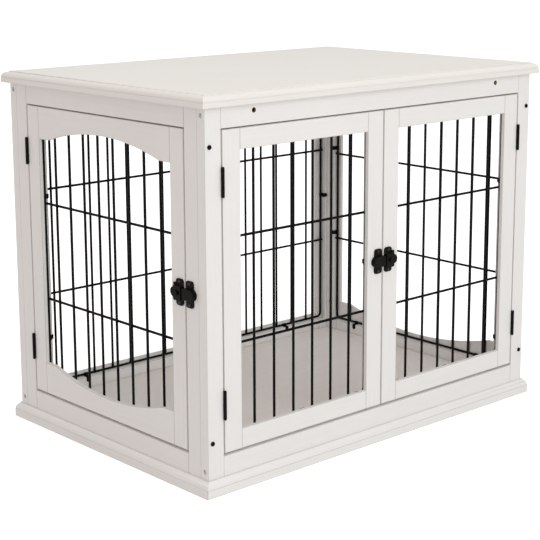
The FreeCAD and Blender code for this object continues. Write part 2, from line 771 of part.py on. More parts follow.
NEAR_FOOT = "clip_corner_offset"
OVER_LOW_BAR = "{bar} + clip_bar_offset"
OVER_HIGH_BAR = "{height} - {bar} + clip_bar_offset"
HALF_LOW_BAR = "{bar} / 2"
HALF_UP = "{height} / 2"
NEAR_CORNER = "{width} / 2 - clip_corner_offset"
QUARTER = "{width} / 4"
THIRD = "{width} / 3"
BESIDE_CLEAT = "cleat_offset - 2 * cleat_width"
# panel: for each side of its rim, how far up from the foot or out from the middle its clips are
CLIP_SITES = {
    "left_door": {"left": (NEAR_FOOT, OVER_HIGH_BAR), "right": (HALF_UP,),
                  "bottom": ("0", NEAR_CORNER), "top": ("0", NEAR_CORNER)},
    "right_door": {"right": (NEAR_FOOT, OVER_HIGH_BAR), "left": (HALF_UP,),
                   "bottom": (f"-({NEAR_CORNER})", "0"), "top": (f"-({NEAR_CORNER})", "0")},
    "side_door": {"left": (HALF_LOW_BAR, OVER_HIGH_BAR), "right": (HALF_LOW_BAR, OVER_HIGH_BAR),
                  "bottom": (f"-({QUARTER})", QUARTER), "top": (f"-({QUARTER})", QUARTER)},
    "back": {"left": (HALF_UP,), "right": (HALF_UP,),
             "bottom": (f"-({BESIDE_CLEAT})", "0", BESIDE_CLEAT),
             "top": (f"-({BESIDE_CLEAT})", "0", BESIDE_CLEAT)},
    "right": {"left": (OVER_LOW_BAR, OVER_HIGH_BAR), "right": (OVER_LOW_BAR, OVER_HIGH_BAR),
              "bottom": (f"-({THIRD})", THIRD), "top": (f"-({THIRD})", THIRD)},
}


def add_clip(panel, spot, turn, tab, screw_group):
    """One clip on a panel's rim with its screw. tab is the formula of the length of its tab."""
    site = panel.multiply(FreeCAD.Placement(spot, FreeCAD.Rotation(Y_AXIS, turn)))
    seat = V(value(f"rabbet_margin + ({tab}) / 2"), value("board_thickness - wire_plane + clip_thickness"), 0)
    drive_screw(screw_group, "small_screw", "clip_screw_length",
                site.multiply(FreeCAD.Placement(seat, FreeCAD.Rotation(Z_AXIS, Y_AXIS))))
    return moved(clip_shape(value(tab)), site)


def make_wire_panels():
    """All five panels with their clips. Returns the clips of each door, and those of the cabinet."""
    clips = {"fixed": []}
    for name, (wall, middle, width_name, height_name, foot, pitch_name, bar_name) in WIRE_PANELS.items():
        width, height, pitch = value(width_name), value(height_name), value(pitch_name)
        panel = wall_placement(wall, middle, "wire_plane", foot)
        item = doc.addObject("Part::Feature", f"{name}_wire_panel".title().replace("_", ""))
        item.Shape = wire_panel(width, height, pitch, value(bar_name))
        item.Placement = panel
        finish(f"{name}_wire_panel", item)
        for side, sites in CLIP_SITES[name].items():
            upright = side in ("left", "right")
            tab = "back_side_tab" if upright and name == "back" else "clip_tab_length"
            for site in sites:
                along = value(site.format(width=width_name, height=height_name, bar=bar_name))
                if not upright:
                    along = gap_middle(along, width, pitch)
                spot, turn = {"right": (V(width / 2, 0, along), 0), "top": (V(along, 0, height), -90),
                              "left": (V(-width / 2, 0, along), 180), "bottom": (V(along, 0, 0), 90)}[side]
                screw_group = f"{name}_fixings" if name.endswith("door") else "wood_screws"
                group = name if name.endswith("door") else "fixed"
                clips.setdefault(group, []).append(add_clip(panel, spot, turn, tab, screw_group))
    return clips


# ---------------------------------------------------------------- hinges

def hinge_half(side, knuckles):
    """One leaf of a butt hinge about a pin on Z. side is -1 for the frame's leaf, 1 for the door's."""
    length, stand_off = value("hinge_length"), value("hinge_stand_off")
    thick, radius = value("hinge_leaf_thickness"), value("hinge_knuckle_radius")
    gap = value("hinge_knuckle_gap")
    low_x = value("hinge_axis_offset") - thick if side > 0 else -value("hinge_axis_offset")
    leaf = Part.makeBox(thick, value("hinge_leaf_depth"), length, V(low_x, stand_off, -length / 2))
    step = (length + gap) / 5
    parts = []
    for number in knuckles:
        low_z = -length / 2 + number * step
        parts.append(Part.makeCylinder(radius, step - gap, V(0, 0, low_z)))
        parts.append(Part.makeBox(thick, stand_off, step - gap, V(low_x, 0, low_z)))
    bore = Part.makeCylinder(value("hinge_pin_radius + hinge_pin_clearance"), length, V(0, 0, -length / 2))
    half = leaf.fuse(parts).cut(bore)
    for spot in hinge_screw_spots():
        half = half.cut(Part.makeCylinder(value("small_screw_head_radius + bore_clearance"), 4 * thick,
                                          spot - X_AXIS * (2 * thick), X_AXIS))
    return half.removeSplitter()


def hinge_screw_spots():
    middle = value("hinge_stand_off + hinge_leaf_depth / 2")
    spacing = value("hinge_screw_spacing")
    return [V(0, middle, sign * spacing / 2) for sign in (-1, 1)]


def hinge_screw(placement, side, group):
    """Flat-headed screws whose heads fill the leaf's holes."""
    thick, offset = value("hinge_leaf_thickness"), value("hinge_axis_offset")
    length, radius = value("hinge_screw_length"), value("small_screw_radius")
    clearance = value("bore_clearance")
    for spot in hinge_screw_spots():
        seat = spot + X_AXIS * (side * (offset - thick))
        outward = X_AXIS * side
        screw = Part.makeCylinder(value("small_screw_head_radius"), thick, seat, outward).fuse(
            Part.makeCylinder(radius, length, seat, outward))
        screws.setdefault(group, []).append(moved(screw, placement))
        bores.append(moved(Part.makeCylinder(radius + clearance, length - thick + clearance,
                                             seat + outward * thick, outward), placement))


def hinge_pin():
    length, radius = value("hinge_length"), value("hinge_pin_radius")
    head, height = value("hinge_pin_head_radius"), value("hinge_pin_head_height")
    gap = value("hinge_knuckle_gap")
    pin = Part.makeCylinder(radius, length + 2 * gap, V(0, 0, -length / 2 - gap))
    return pin.fuse([Part.makeCylinder(head, height, V(0, 0, length / 2 + gap)),
                     Part.makeCylinder(head, height, V(0, 0, -length / 2 - gap - height))])


def make_hinges():
    front_y = -value("frame_half_y + hinge_stand_off")
    front_x = value("front_opening_half - hinge_axis_offset")
    side_x = -value("frame_half_x + hinge_stand_off")
    side_y = value("side_opening_half - hinge_axis_offset")
    axes = {
        "left_door": (V(-front_x, front_y, 0), FreeCAD.Rotation()),
        "right_door": (V(front_x, front_y, 0), FreeCAD.Rotation(Y_AXIS, 180)),
        "side_door": (V(side_x, side_y, 0), FreeCAD.Rotation(Z_AXIS, -90)),
    }
    frame_half, door_half, pin = hinge_half(-1, (0, 2, 4)), hinge_half(1, (1, 3)), hinge_pin()
    frame_leaves, pins = [], []
    for door, (axis, rotation) in axes.items():
        door_leaves = []
        for level in ("hinge_low", "hinge_high"):
            placement = FreeCAD.Placement(axis + Z_AXIS * value(level), rotation)
            frame_leaves.append(moved(frame_half, placement))
            door_leaves.append(moved(door_half, placement))
            pins.append(moved(pin, placement))
            hinge_screw(placement, -1, "wood_screws")
            hinge_screw(placement, 1, f"{door}_fixings")
        finish_group(f"{door}_hinge_leaves", door_leaves)
    finish_group("hinge_frame_leaves", frame_leaves)
    finish_group("hinge_pins", pins)


# ---------------------------------------------------------------- slide latches

# In a latch's own frame X runs from the keeper's side to the body's side, Y along the door's edge
# and Z out from the door's face. The body's plate starts at X = 0; the keeper's ends at X = 0.

def latch_plate(name, low_x):
    """A plate with rounded corners, and the two screw holes it is cut by later."""
    width, corner = "latch_plate_width", "latch_plate_corner"
    half, thick = "latch_plate_height / 2", "latch_plate_thickness"
    parts = [
        box(name + "Tall", (f"{low_x} + {corner}", f"-({half})", "0"),
            (f"{width} - 2 * {corner}", "latch_plate_height", thick)),
        box(name + "Wide", (low_x, f"{corner} - {half}", "0"),
            (width, f"latch_plate_height - 2 * {corner}", thick)),
    ]
    for number, (x, y) in enumerate((x, y) for x in (f"{low_x} + {corner}", f"{low_x} + {width} - {corner}")
                                    for y in (f"{corner} - {half}", f"{half} - {corner}")):
        parts.append(disc(f"{name}Corner{number}", (x, y, "0"), corner, thick))
    return parts


def latch_screw_holes(name, low_x):
    return [disc(f"{name}Hole{number}", (f"{low_x} + latch_plate_width / 2", y, "0"),
                 "small_screw_radius + bore_clearance", "latch_plate_thickness")
            for number, y in enumerate(("-(latch_screw_spacing) / 2", "latch_screw_spacing / 2"))]


def bolt_slot(name, low_x, length, grow):
    """The space of the bolt's flat bar, with its clearance."""
    return box(name, (low_x, f"-(latch_bolt_height) / 2 - {grow}", f"latch_bolt_lift - {grow}"),
               (length, f"latch_bolt_height + 2 * {grow}", f"latch_bolt_thickness + 2 * {grow}"))


def make_latch_body(name):
    width, lug = "latch_plate_width", "latch_lug_length"
    parts = latch_plate(name + "Plate", "0")
    parts.append(box(name + "Housing", ("0", "-(latch_housing_height) / 2", "0"),
                     (width, "latch_housing_height", "latch_housing_depth")))
    for number, y in enumerate(("latch_lug_offset", "-(latch_lug_offset + latch_lug_height)")):
        parts.append(box(f"{name}Lug{number}", (f"{width} - 1", y, "0"),
                         (f"{lug} + 1", "latch_lug_height", "latch_lug_depth")))
    stem = "(latch_stem_radius + latch_bolt_clearance)"
    stem_slot = box(name + "StemSlot", (f"latch_stem_rest - latch_throw - {stem}", f"-{stem}",
                                        "latch_bolt_lift"),
                    (f"latch_throw + latch_retract + 2 * {stem}", f"2 * {stem}", "latch_housing_depth"))
    tools = latch_screw_holes(name, "0")
    tools += [bolt_slot(name + "Slot", "-1", f"{width} + 2", "latch_bolt_clearance"), stem_slot]
    return cut(name, fuse(name + "Solid", parts), tools)


def make_latch_keeper(name):
    width = "latch_plate_width"
    lobe = "latch_housing_height / 2 - 2"
    lobe_x = f"{lobe} - {width} - latch_lobe_length"
    parts = latch_plate(name + "Plate", f"-({width})")
    parts.append(box(name + "Housing", (lobe_x, f"-({lobe})", "0"),
                     (f"-({lobe_x})", f"2 * ({lobe})", "latch_housing_depth")))
    parts.append(disc(name + "Lobe", (lobe_x, "0", "0"), lobe, "latch_housing_depth"))
    parts.append(box(name + "Mouth", ("-1", f"-({lobe})", "0"),
                     ("1 + latch_set_back", f"2 * ({lobe})", "latch_housing_depth")))
    tools = latch_screw_holes(name, f"-({width})")
    tools.append(bolt_slot(name + "Pocket", "-(latch_pocket_depth)",
                           "latch_pocket_depth + latch_set_back + 1", "latch_bolt_clearance"))
    return cut(name, fuse(name + "Solid", parts), tools)


def make_latch_bolt(name, gap):
    """A flat bar whose nose stands just short of the keeper, with a round tail and a thumb knob."""
    nose = f"{gap} + latch_set_back - latch_rest_gap"
    tail = "latch_bolt_height / 2"
    tail_x = f"latch_plate_width + latch_tail_length - {tail}"
    top = "latch_bolt_lift + latch_bolt_thickness"
    knob_z = "latch_housing_depth + latch_knob_lift"
    return fuse(name, [
        bolt_slot(name + "Bar", f"-({nose})", f"{nose} + {tail_x}", "0"),
        disc(name + "Tail", (tail_x, "0", "latch_bolt_lift"), tail, "latch_bolt_thickness"),
        disc(name + "Stem", ("latch_stem_rest", "0", f"{top} - 1"), "latch_stem_radius",
             f"{knob_z} - ({top}) + 1.5"),
        disc(name + "Knob", ("latch_stem_rest", "0", knob_z), "latch_knob_radius", "latch_knob_height"),
    ])


def make_latches():
    """The front latch has its body on the right door; the side latch has its body on the side door."""
    front_turn = FreeCAD.Rotation(X_AXIS, 90)
    side_turn = FreeCAD.Rotation(Y_AXIS, -Z_AXIS, -X_AXIS, "XYZ")
    front_edge = "(door_centre_gap / 2 + latch_set_back)"
    latches = {
        "front": (front_turn, "door_centre_gap", "left_door_latch_keeper", "right_door_latch_body",
                  (front_edge, "-(frame_half_y)", "latch_level"),
                  (f"-{front_edge}", "-(frame_half_y)", "latch_level")),
        "side": (side_turn, "door_side_gap", "side_latch_keeper", "side_door_latch_body",
                 ("-(frame_half_x)", "latch_set_back - side_door_half", "latch_level"),
                 ("-(frame_half_x)", "-(side_opening_half) - latch_set_back", "latch_level")),
    }
    groups = {"left_door_latch_keeper": "left_door_fixings", "side_latch_keeper": "wood_screws",
              "right_door_latch_body": "right_door_fixings", "side_door_latch_body": "side_door_fixings"}
    for latch, (turn, gap, keeper_label, body_label, body_spot, keeper_spot) in latches.items():
        title = latch.title()
        items = ((body_label, make_latch_body(title + "LatchBody"), body_spot, 1),
                 (keeper_label, make_latch_keeper(title + "LatchKeeper"), keeper_spot, -1),
                 (f"{latch}_latch_bolt", make_latch_bolt(title + "LatchBolt", gap), body_spot, 0))
        for label, item, spot, side in items:
            item.Placement = FreeCAD.Placement(V(), turn)
            place(item, *spot)
            finish(label, item)
            if not side:
                continue
            corner = FreeCAD.Placement(V(*(value(text) for text in spot)), turn)
            for end in (-1, 1):
                seat = V(side * value("latch_plate_width") / 2, end * value("latch_screw_spacing") / 2,
                         value("latch_plate_thickness"))
                drive_screw(groups[label], "small_screw", "latch_screw_length",
                            corner.multiply(FreeCAD.Placement(seat, FreeCAD.Rotation())))


# ---------------------------------------------------------------- assembly

def bore_boards():
    """Cut every board by the bores that reach it, and finish it."""
    doc.recompute()
    for label, board in boards.items():
        bounds = board.Shape.BoundBox
        reached = [bore for bore in bores
                   if bounds.intersect(bore.BoundBox) and board.Shape.common(bore).Volume > 1e-6]
        if reached:
            title = label.title().replace("_", "")
            tool = doc.addObject("Part::Feature", title + "Bores")
            tool.Shape = reached[0].multiFuse(reached[1:]) if len(reached) > 1 else reached[0]
            board = cut(title + "Bored", board, [tool])
        finish(label, board)


def check_document():
    """Stop if any object failed, or any sub-part is empty, invalid or out of its label."""
    doc.recompute()
    for item in doc.Objects:
        if "Invalid" in item.State or "Error" in item.State:
            raise RuntimeError(f"{item.Name} failed: {item.State}")
    for item in pieces:
        if item.Shape.isNull() or not item.Shape.isValid() or item.Shape.Volume <= 0:
            raise RuntimeError(f"{item.Label} has no valid shape")
    if len({item.Label for item in pieces}) != len(pieces):
        raise RuntimeError("two sub-parts share a label")


def write_parts():
    os.makedirs("parts", exist_ok=True)
    for item in pieces:
        item.Shape.exportStep(f"parts/{item.Label}.step")
        print(f"{item.Label}: {len(item.Shape.Solids)} solid(s), {item.Shape.Volume / 1000:.1f} cm3")
    print(f"{len(pieces)} sub-parts")


make_boards()
make_cleats()
make_floor()
make_plinth("plinth_front", 0, "frame_half_y", "frame_half_x")
make_plinth("plinth_back", 180, "frame_half_y", "frame_half_x")
make_plinth("plinth_left", -90, "frame_half_x", "frame_half_y")
make_plinth("plinth_right", 90, "frame_half_x", "frame_half_y")
panel_clips = make_wire_panels()
make_hinges()
make_latches()
add_frame_screws()
add_post_bolts()
add_wood_screws()
bore_boards()
finish_group("fixed_wire_clips", panel_clips.pop("fixed"))
for door, clips in panel_clips.items():
    finish_group(f"{door}_fixings", clips + screws.pop(f"{door}_fixings"))
for group, members in screws.items():
    finish_group(group, members)
check_document()
write_parts()
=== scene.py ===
import json
import math

import bmesh
import bpy
from mathutils import Matrix, Vector


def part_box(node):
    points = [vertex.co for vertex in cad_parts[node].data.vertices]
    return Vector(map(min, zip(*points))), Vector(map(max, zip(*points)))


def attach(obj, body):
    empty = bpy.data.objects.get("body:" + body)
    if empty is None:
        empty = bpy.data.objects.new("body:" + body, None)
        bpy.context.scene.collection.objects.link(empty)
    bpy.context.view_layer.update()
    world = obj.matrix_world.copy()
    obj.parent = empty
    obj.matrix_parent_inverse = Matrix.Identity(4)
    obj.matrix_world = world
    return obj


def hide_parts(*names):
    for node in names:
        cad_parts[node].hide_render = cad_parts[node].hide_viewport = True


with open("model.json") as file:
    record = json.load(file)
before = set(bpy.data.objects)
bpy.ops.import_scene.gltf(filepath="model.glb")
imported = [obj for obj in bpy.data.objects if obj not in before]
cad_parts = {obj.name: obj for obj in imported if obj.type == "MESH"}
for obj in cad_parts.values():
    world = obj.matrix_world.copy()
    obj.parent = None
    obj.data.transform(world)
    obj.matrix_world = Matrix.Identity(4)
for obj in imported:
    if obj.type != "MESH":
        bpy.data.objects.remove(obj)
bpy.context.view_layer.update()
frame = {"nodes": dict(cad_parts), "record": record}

# Crate table: a painted wooden cabinet with wire panels, two front doors and one side door.
# The dictionaries give sizes in millimetres, except the studio and the view, which are in metres.
mm = 0.001
nodes = frame["nodes"]
nodeBody = {node: body for body, members in frame["record"]["behaviour"]["bodies"].items()
            for node in members}
nodeSlot = {part["node"]: part["material_slot"] for part in frame["record"]["subparts"]}

cabinet = {
    "halfX": 390.5,          # outer faces of the frames
    "halfY": 266.5,
    "board": 18,
    "wirePlane": 9.1,        # from the outer face to the rim wire's middle
}


# An empty shader group with these inputs; it gives a surface's colour, roughness and height.
def newGroup(name, inputs):
    group = bpy.data.node_groups.new(name, "ShaderNodeTree")
    for label, kind in inputs:
        group.interface.new_socket(name=label, in_out="INPUT", socket_type=kind)
    for label, kind in (("Color", "NodeSocketColor"), ("Roughness", "NodeSocketFloat"),
                        ("Height", "NodeSocketFloat")):
        group.interface.new_socket(name=label, in_out="OUTPUT", socket_type=kind)
    return group, group.nodes.new("NodeGroupInput"), group.nodes.new("NodeGroupOutput")


def endGroup(tree, leave, *values):
    for value, socket in zip(values, leave.inputs):
        tree.links.new(value, socket)


# A node with its settings made and its inputs set or linked. An input goes by its label, or by
# the letter i and its number.
def addNode(tree, kind, settings=None, **inputs):
    node = tree.nodes.new(kind)
    for key, value in (settings or {}).items():
        setattr(node, key, value)
    for key, value in inputs.items():
        numbered = key[0] == "i" and key[1:].isdigit()
        socket = node.inputs[int(key[1:]) if numbered else key]
        if isinstance(value, bpy.types.NodeSocket):
            tree.links.new(value, socket)
        else:
            socket.default_value = value
    return node


def mathNode(tree, operation, first, second):
    return addNode(tree, "ShaderNodeMath", {"operation": operation}, i0=first, i1=second).outputs[0]


def mixColour(tree, factor, first, second):
    return addNode(tree, "ShaderNodeMix", {"data_type": "RGBA"},
                   i0=factor, i6=first, i7=second).outputs[2]


# The value that lies a factor of the way from low to high.
def between(tree, low, high, factor):
    spread = mathNode(tree, "SUBTRACT", high, low)
    return mathNode(tree, "ADD", low, mathNode(tree, "MULTIPLY", spread, factor))


# Noise textures; from and to bound the part of the noise's range that is used.
textures = {
    "fibres": {"scale": 260, "detail": 4, "rough": 0.6, "from": 0.42, "to": 0.68},
    "clouds": {"scale": 5.5, "detail": 3, "rough": 0.5, "from": 0.35, "to": 0.68},
    "peel": {"scale": 900, "detail": 1, "rough": 0.4, "from": 0.3, "to": 0.7},
    "film": {"scale": 60, "detail": 4, "rough": 0.55, "from": 0.45, "to": 0.75},
    "speckle": {"detail": 2, "rough": 0.5, "from": 0.3, "to": 0.7},
    "rawFibres": {"scale": 1500, "detail": 3, "rough": 0.5},
}


def noise(tree, vector, texture):
    return addNode(tree, "ShaderNodeTexNoise", Vector=vector, Scale=texture["scale"],
                   Detail=texture["detail"], Roughness=texture["rough"]).outputs["Fac"]


# A noise's used range, stretched to between nought and one.
def stretched(tree, value, texture):
    return addNode(tree, "ShaderNodeMapRange", i0=value, i1=texture["from"], i2=texture["to"],
                   i3=0.0, i4=1.0).outputs["Result"]


paint = {
    "white": (0.832, 0.820, 0.808, 1),
    "undertone": (0.80, 0.782, 0.764, 1),
    # the floor panel's paint, lighter and warmer than the boards': painted light inside the
    # cabinet, where the lamps leave it too dark
    "floorWhite": (0.90, 0.853, 0.812, 1),
    "floorUndertone": (0.85, 0.795, 0.752, 1),
    # the boards' rounded edges: darker paint, painted shade that makes the seams between boards
    # show as dark lines
    "edge": (0.66, 0.615, 0.575, 1),
    "edgeUndertone": (0.58, 0.53, 0.49, 1),
    "topWhite": (0.822, 0.798, 0.760, 1),
    "topUndertone": (0.79, 0.762, 0.718, 1),
    "grain": 0.45,
    "stretchAlong": 0.035,    # the grain's scale along the board; it is 1 across it
    "cloud": 0.35,
    "fibreRelief": 0.8,       # the grain's height against the orange peel's
    "glossLow": 0.52,
    "glossHigh": 0.62,
    "bump": 0.14,
    "bumpDepth": 0.00012,
    "shine": 0.2,
}
metal = {"coatShine": 0.05, "bumpDepth": 0.0001}
bareSteel = {"speckle": 1800.0, "roughLow": 0.28, "roughHigh": 0.45, "bump": 0.05, "bare": True}
finishes = {
    "wireCoat": {"colour": (0.004, 0.004, 0.004, 1), "film": (0.009, 0.0085, 0.008, 1),
                 "speckle": 2600.0, "roughLow": 0.3, "roughHigh": 0.46, "bump": 0.12},
    "hingeCoat": {"colour": (0.005, 0.005, 0.005, 1), "film": (0.009, 0.0085, 0.008, 1),
                  "speckle": 2200.0, "roughLow": 0.35, "roughHigh": 0.5, "bump": 0.1},
    "latchCoat": {"colour": (0.0045, 0.004, 0.0038, 1), "film": (0.011, 0.009, 0.008, 1),
                  "speckle": 1500.0, "roughLow": 0.34, "roughHigh": 0.52, "bump": 0.2},
    "fittingCoat": {"colour": (0.0045, 0.004, 0.0038, 1), "film": (0.009, 0.0085, 0.008, 1),
                    "speckle": 2200.0, "roughLow": 0.28, "roughHigh": 0.42, "bump": 0.1},
    "zincSteel": dict(bareSteel, colour=(0.42, 0.40, 0.37, 1), film=(0.27, 0.25, 0.22, 1)),
    "darkSteel": dict(bareSteel, colour=(0.055, 0.052, 0.05, 1), film=(0.03, 0.028, 0.026, 1)),
    "paleZinc": dict(bareSteel, colour=(0.66, 0.65, 0.63, 1), film=(0.52, 0.50, 0.47, 1)),
}
bareWood = {"dark": (0.30, 0.15, 0.07, 1), "light": (0.62, 0.40, 0.23, 1), "rough": 0.8,
            "bump": 0.4, "bumpDepth": 0.0002}


# Rolled paint over wood: faint grain, soft cloudiness, orange peel.
def paintGroup():
    tree, entry, leave = newGroup("rolledPaint", [
        ("Paint", "NodeSocketColor"), ("Undertone", "NodeSocketColor"),
        ("Stretch", "NodeSocketVector"), ("Grain", "NodeSocketFloat"),
        ("Gloss Low", "NodeSocketFloat"), ("Gloss High", "NodeSocketFloat")])
    get = entry.outputs
    where = addNode(tree, "ShaderNodeTexCoord").outputs["Object"]
    along = addNode(tree, "ShaderNodeVectorMath", {"operation": "MULTIPLY"},
                    i0=where, i1=get["Stretch"]).outputs[0]
    fibres = stretched(tree, noise(tree, along, textures["fibres"]), textures["fibres"])
    clouds = stretched(tree, noise(tree, where, textures["clouds"]), textures["clouds"])
    peel = noise(tree, where, textures["peel"])
    shade = mathNode(tree, "ADD", mathNode(tree, "MULTIPLY", fibres, get["Grain"]),
                     mathNode(tree, "MULTIPLY", clouds, paint["cloud"]))
    gloss = between(tree, get["Gloss Low"], get["Gloss High"],
                    stretched(tree, peel, textures["peel"]))
    height = mathNode(tree, "ADD", peel, mathNode(tree, "MULTIPLY", fibres, paint["fibreRelief"]))
    endGroup(tree, leave, mixColour(tree, shade, get["Paint"], get["Undertone"]), gloss, height)
    return tree


# Coated or bare metal: fine speckle, dusty film, small dimples.
def metalGroup():
    tree, entry, leave = newGroup("coatedMetal", [
        ("Coat", "NodeSocketColor"), ("Film", "NodeSocketColor"), ("Speckle", "NodeSocketFloat"),
        ("Rough Low", "NodeSocketFloat"), ("Rough High", "NodeSocketFloat")])
    get = entry.outputs
    where = addNode(tree, "ShaderNodeTexCoord").outputs["Object"]
    speckle = noise(tree, where, dict(textures["speckle"], scale=get["Speckle"]))
    film = stretched(tree, noise(tree, where, textures["film"]), textures["film"])
    rough = between(tree, get["Rough Low"], get["Rough High"],
                    stretched(tree, speckle, textures["speckle"]))
    endGroup(tree, leave, mixColour(tree, film, get["Coat"], get["Film"]), rough, speckle)
    return tree


def newMaterial(name):
    material = bpy.data.materials.new(name)
    material.use_nodes = True
    return material, material.node_tree, material.node_tree.nodes["Principled BSDF"]


# Places a group in a material and wires it to the shader.
def useGroup(tree, shader, group, bump, depth, inputs):
    node = addNode(tree, "ShaderNodeGroup", {"node_tree": group}, **inputs)
    relief = addNode(tree, "ShaderNodeBump", Strength=bump, Distance=depth,
                     Height=node.outputs["Height"])
    for label, value in (("Base Color", node.outputs["Color"]),
                         ("Roughness", node.outputs["Roughness"]),
                         ("Normal", relief.outputs["Normal"])):
        tree.links.new(value, shader.inputs[label])


rolledPaint = paintGroup()
coatedMetal = metalGroup()


# Satin paint with its grain along one axis.
def paintMaterial(name, axis, colour, undertone):
    material, tree, shader = newMaterial(name)
    stretch = [1.0, 1.0, 1.0]
    stretch[axis] = paint["stretchAlong"]
    useGroup(tree, shader, rolledPaint, paint["bump"], paint["bumpDepth"], {
        "Paint": colour, "Undertone": undertone, "Stretch": stretch, "Grain": paint["grain"],
        "Gloss Low": paint["glossLow"], "Gloss High": paint["glossHigh"]})
    shader.inputs["Specular IOR Level"].default_value = paint["shine"]
    return material


def metalMaterial(name):
    finish = finishes[name]
    material, tree, shader = newMaterial(name)
    useGroup(tree, shader, coatedMetal, finish["bump"], metal["bumpDepth"], {
        "Coat": finish["colour"], "Film": finish["film"], "Speckle": finish["speckle"],
        "Rough Low": finish["roughLow"], "Rough High": finish["roughHigh"]})
    if "bare" in finish:
        shader.inputs["Metallic"].default_value = 1.0
    else:
        shader.inputs["Specular IOR Level"].default_value = metal["coatShine"]
    return material


# Bare end grain and drill marks inside a hole.
def rawWoodMaterial(name):
    material, tree, shader = newMaterial(name)
    where = addNode(tree, "ShaderNodeTexCoord").outputs["Object"]
    fibres = noise(tree, where, textures["rawFibres"])
    colour = mixColour(tree, fibres, bareWood["dark"], bareWood["light"])
    tree.links.new(colour, shader.inputs["Base Color"])
    relief = addNode(tree, "ShaderNodeBump", Strength=bareWood["bump"],
                     Distance=bareWood["bumpDepth"], Height=fibres)
    tree.links.new(relief.outputs["Normal"], shader.inputs["Normal"])
    shader.inputs["Roughness"].default_value = bareWood["rough"]
    return material


boardPaint = [paintMaterial(f"whitePaintAlong{letter}", axis, paint["white"], paint["undertone"])
              for axis, letter in enumerate("XYZ")]
topPaint = paintMaterial("whitePaintTop", 0, paint["topWhite"], paint["topUndertone"])
# painted light: the floor panel gets a lighter, warmer paint than the other boards
floorLitPaint = paintMaterial("whitePaintFloor", 0, paint["floorWhite"], paint["floorUndertone"])
# painted shade on the boards' rounded edges, for the dark lines of the seams
edgeShadePaint = paintMaterial("thinPaintEdges", 2, paint["edge"], paint["edgeUndertone"])
wireCoat, hingeCoat, latchCoat, fittingCoat, zincSteel, darkSteel, paleZinc = [
    metalMaterial(name) for name in finishes]
rawWood = rawWoodMaterial("rawWood")
print("materials made")


def newObject(name, data):
    thing = bpy.data.objects.new(name, data)
    bpy.context.scene.collection.objects.link(thing)
    return thing


def camelName(node):
    first, *rest = node.split("_")
    return first + "".join(word.title() for word in rest)


# Makes the finished piece that stands for a CAD node, and says what it rides on.
def registerPiece(node, mesh):
    piece = newObject(camelName(node), mesh)
    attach(piece, nodeBody[node])
    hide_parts(node)


# The plain mesh of an object with its modifiers done; the object goes.
def evaluatedMesh(worker):
    depsgraph = bpy.context.evaluated_depsgraph_get()
    mesh = bpy.data.meshes.new_from_object(worker.evaluated_get(depsgraph),
                                           preserve_all_data_layers=True, depsgraph=depsgraph)
    worker.modifiers.clear()
    bpy.data.objects.remove(worker)
    return mesh


def finishedMesh(name, bm):
    mesh = bpy.data.meshes.new(name)
    bm.to_mesh(mesh)
    bm.free()
    return mesh


# Angles in degrees. A convex edge from roundFrom up is rounded, another from sharpFrom up is
# kept sharp, and faces within flat of each other become one.
softening = {"merge": 0.001, "flat": 0.3, "roundFrom": 35, "sharpFrom": 24, "segments": 2,
             "faceWeight": 80}


# A merged copy of a CAD node with its long edges rounded.
def softenedCopy(node, edge, materials, inHole=None, cut=None):
    bm = bmesh.new()
    bm.from_mesh(nodes[node].data)
    bmesh.ops.remove_doubles(bm, verts=bm.verts, dist=softening["merge"] * mm)
    bmesh.ops.dissolve_limit(bm, angle_limit=math.radians(softening["flat"]), verts=bm.verts,
                             edges=bm.edges)
    if cut:
        cut(bm)
    weight = bm.edges.layers.float.new("bevel_weight_edge")
    for face in bm.faces:
        face.smooth = True
        face.material_index = 1 if inHole and inHole(face) else 0
    for line in bm.edges:
        if len(line.link_faces) != 2:
            continue
        angle = line.calc_face_angle()
        rounded = line.is_convex and line.calc_length() > edge["shortest"] * mm
        if rounded and angle > math.radians(softening["roundFrom"]):
            line[weight] = 1.0
        elif angle > math.radians(softening["sharpFrom"]):
            line.smooth = False
    mesh = finishedMesh(camelName(node), bm)
    for material in materials:
        mesh.materials.append(material)
    worker = newObject("worker", mesh)
    bevel = worker.modifiers.new("roundedEdges", "BEVEL")
    bevel.limit_method = "WEIGHT"
    bevel.width = edge["radius"] * mm
    bevel.segments = softening["segments"]
    bevel.use_clamp_overlap = False
    bevel.material = edge.get("slot", -1)
    weighted = worker.modifiers.new("flatFaces", "WEIGHTED_NORMAL")
    weighted.keep_sharp = True
    weighted.weight = softening["faceWeight"]
    registerPiece(node, evaluatedMesh(worker))


# slot 2 is the darker edge paint: painted shade along the seams between boards
boardEdge = {"radius": 0.8, "shortest": 2.5, "slot": 2}
topEdge = {"radius": 0.5, "shortest": 2.5}
holes = {
    "radius": 4.4,
    "depth": 5,
    "margin": 0.3,           # a face this much deeper still counts as inside
    "screwX": 385.5,
    "screwY": 257.5,
    "screwLevels": (39, 602),
    "cleatX": 291,
    "cleatLevel": 603,
    "boltLevels": (86, 554),
}


# True for a face inside a counterbored hole of the long top rails, whose wood is left bare.
def inCounterbore(face):
    x, y, z = face.calc_center_median() / mm
    return abs(y) > cabinet["halfY"] - holes["depth"] - holes["margin"] and math.hypot(
        abs(x) - holes["cleatX"], z - holes["cleatLevel"]) < holes["radius"]


topGroove = {
    "level": 622.2,
    "ledge": 0.3,            # height of its floor
    "depth": 1.2,
    "roundFoot": 623.5,      # where the rounded edge begins
    "roundInset": 0.6,
    "reach": 10,             # how far in from the edge the points are moved
    "near": 0.1,             # a point this far below a level still counts as on it
}


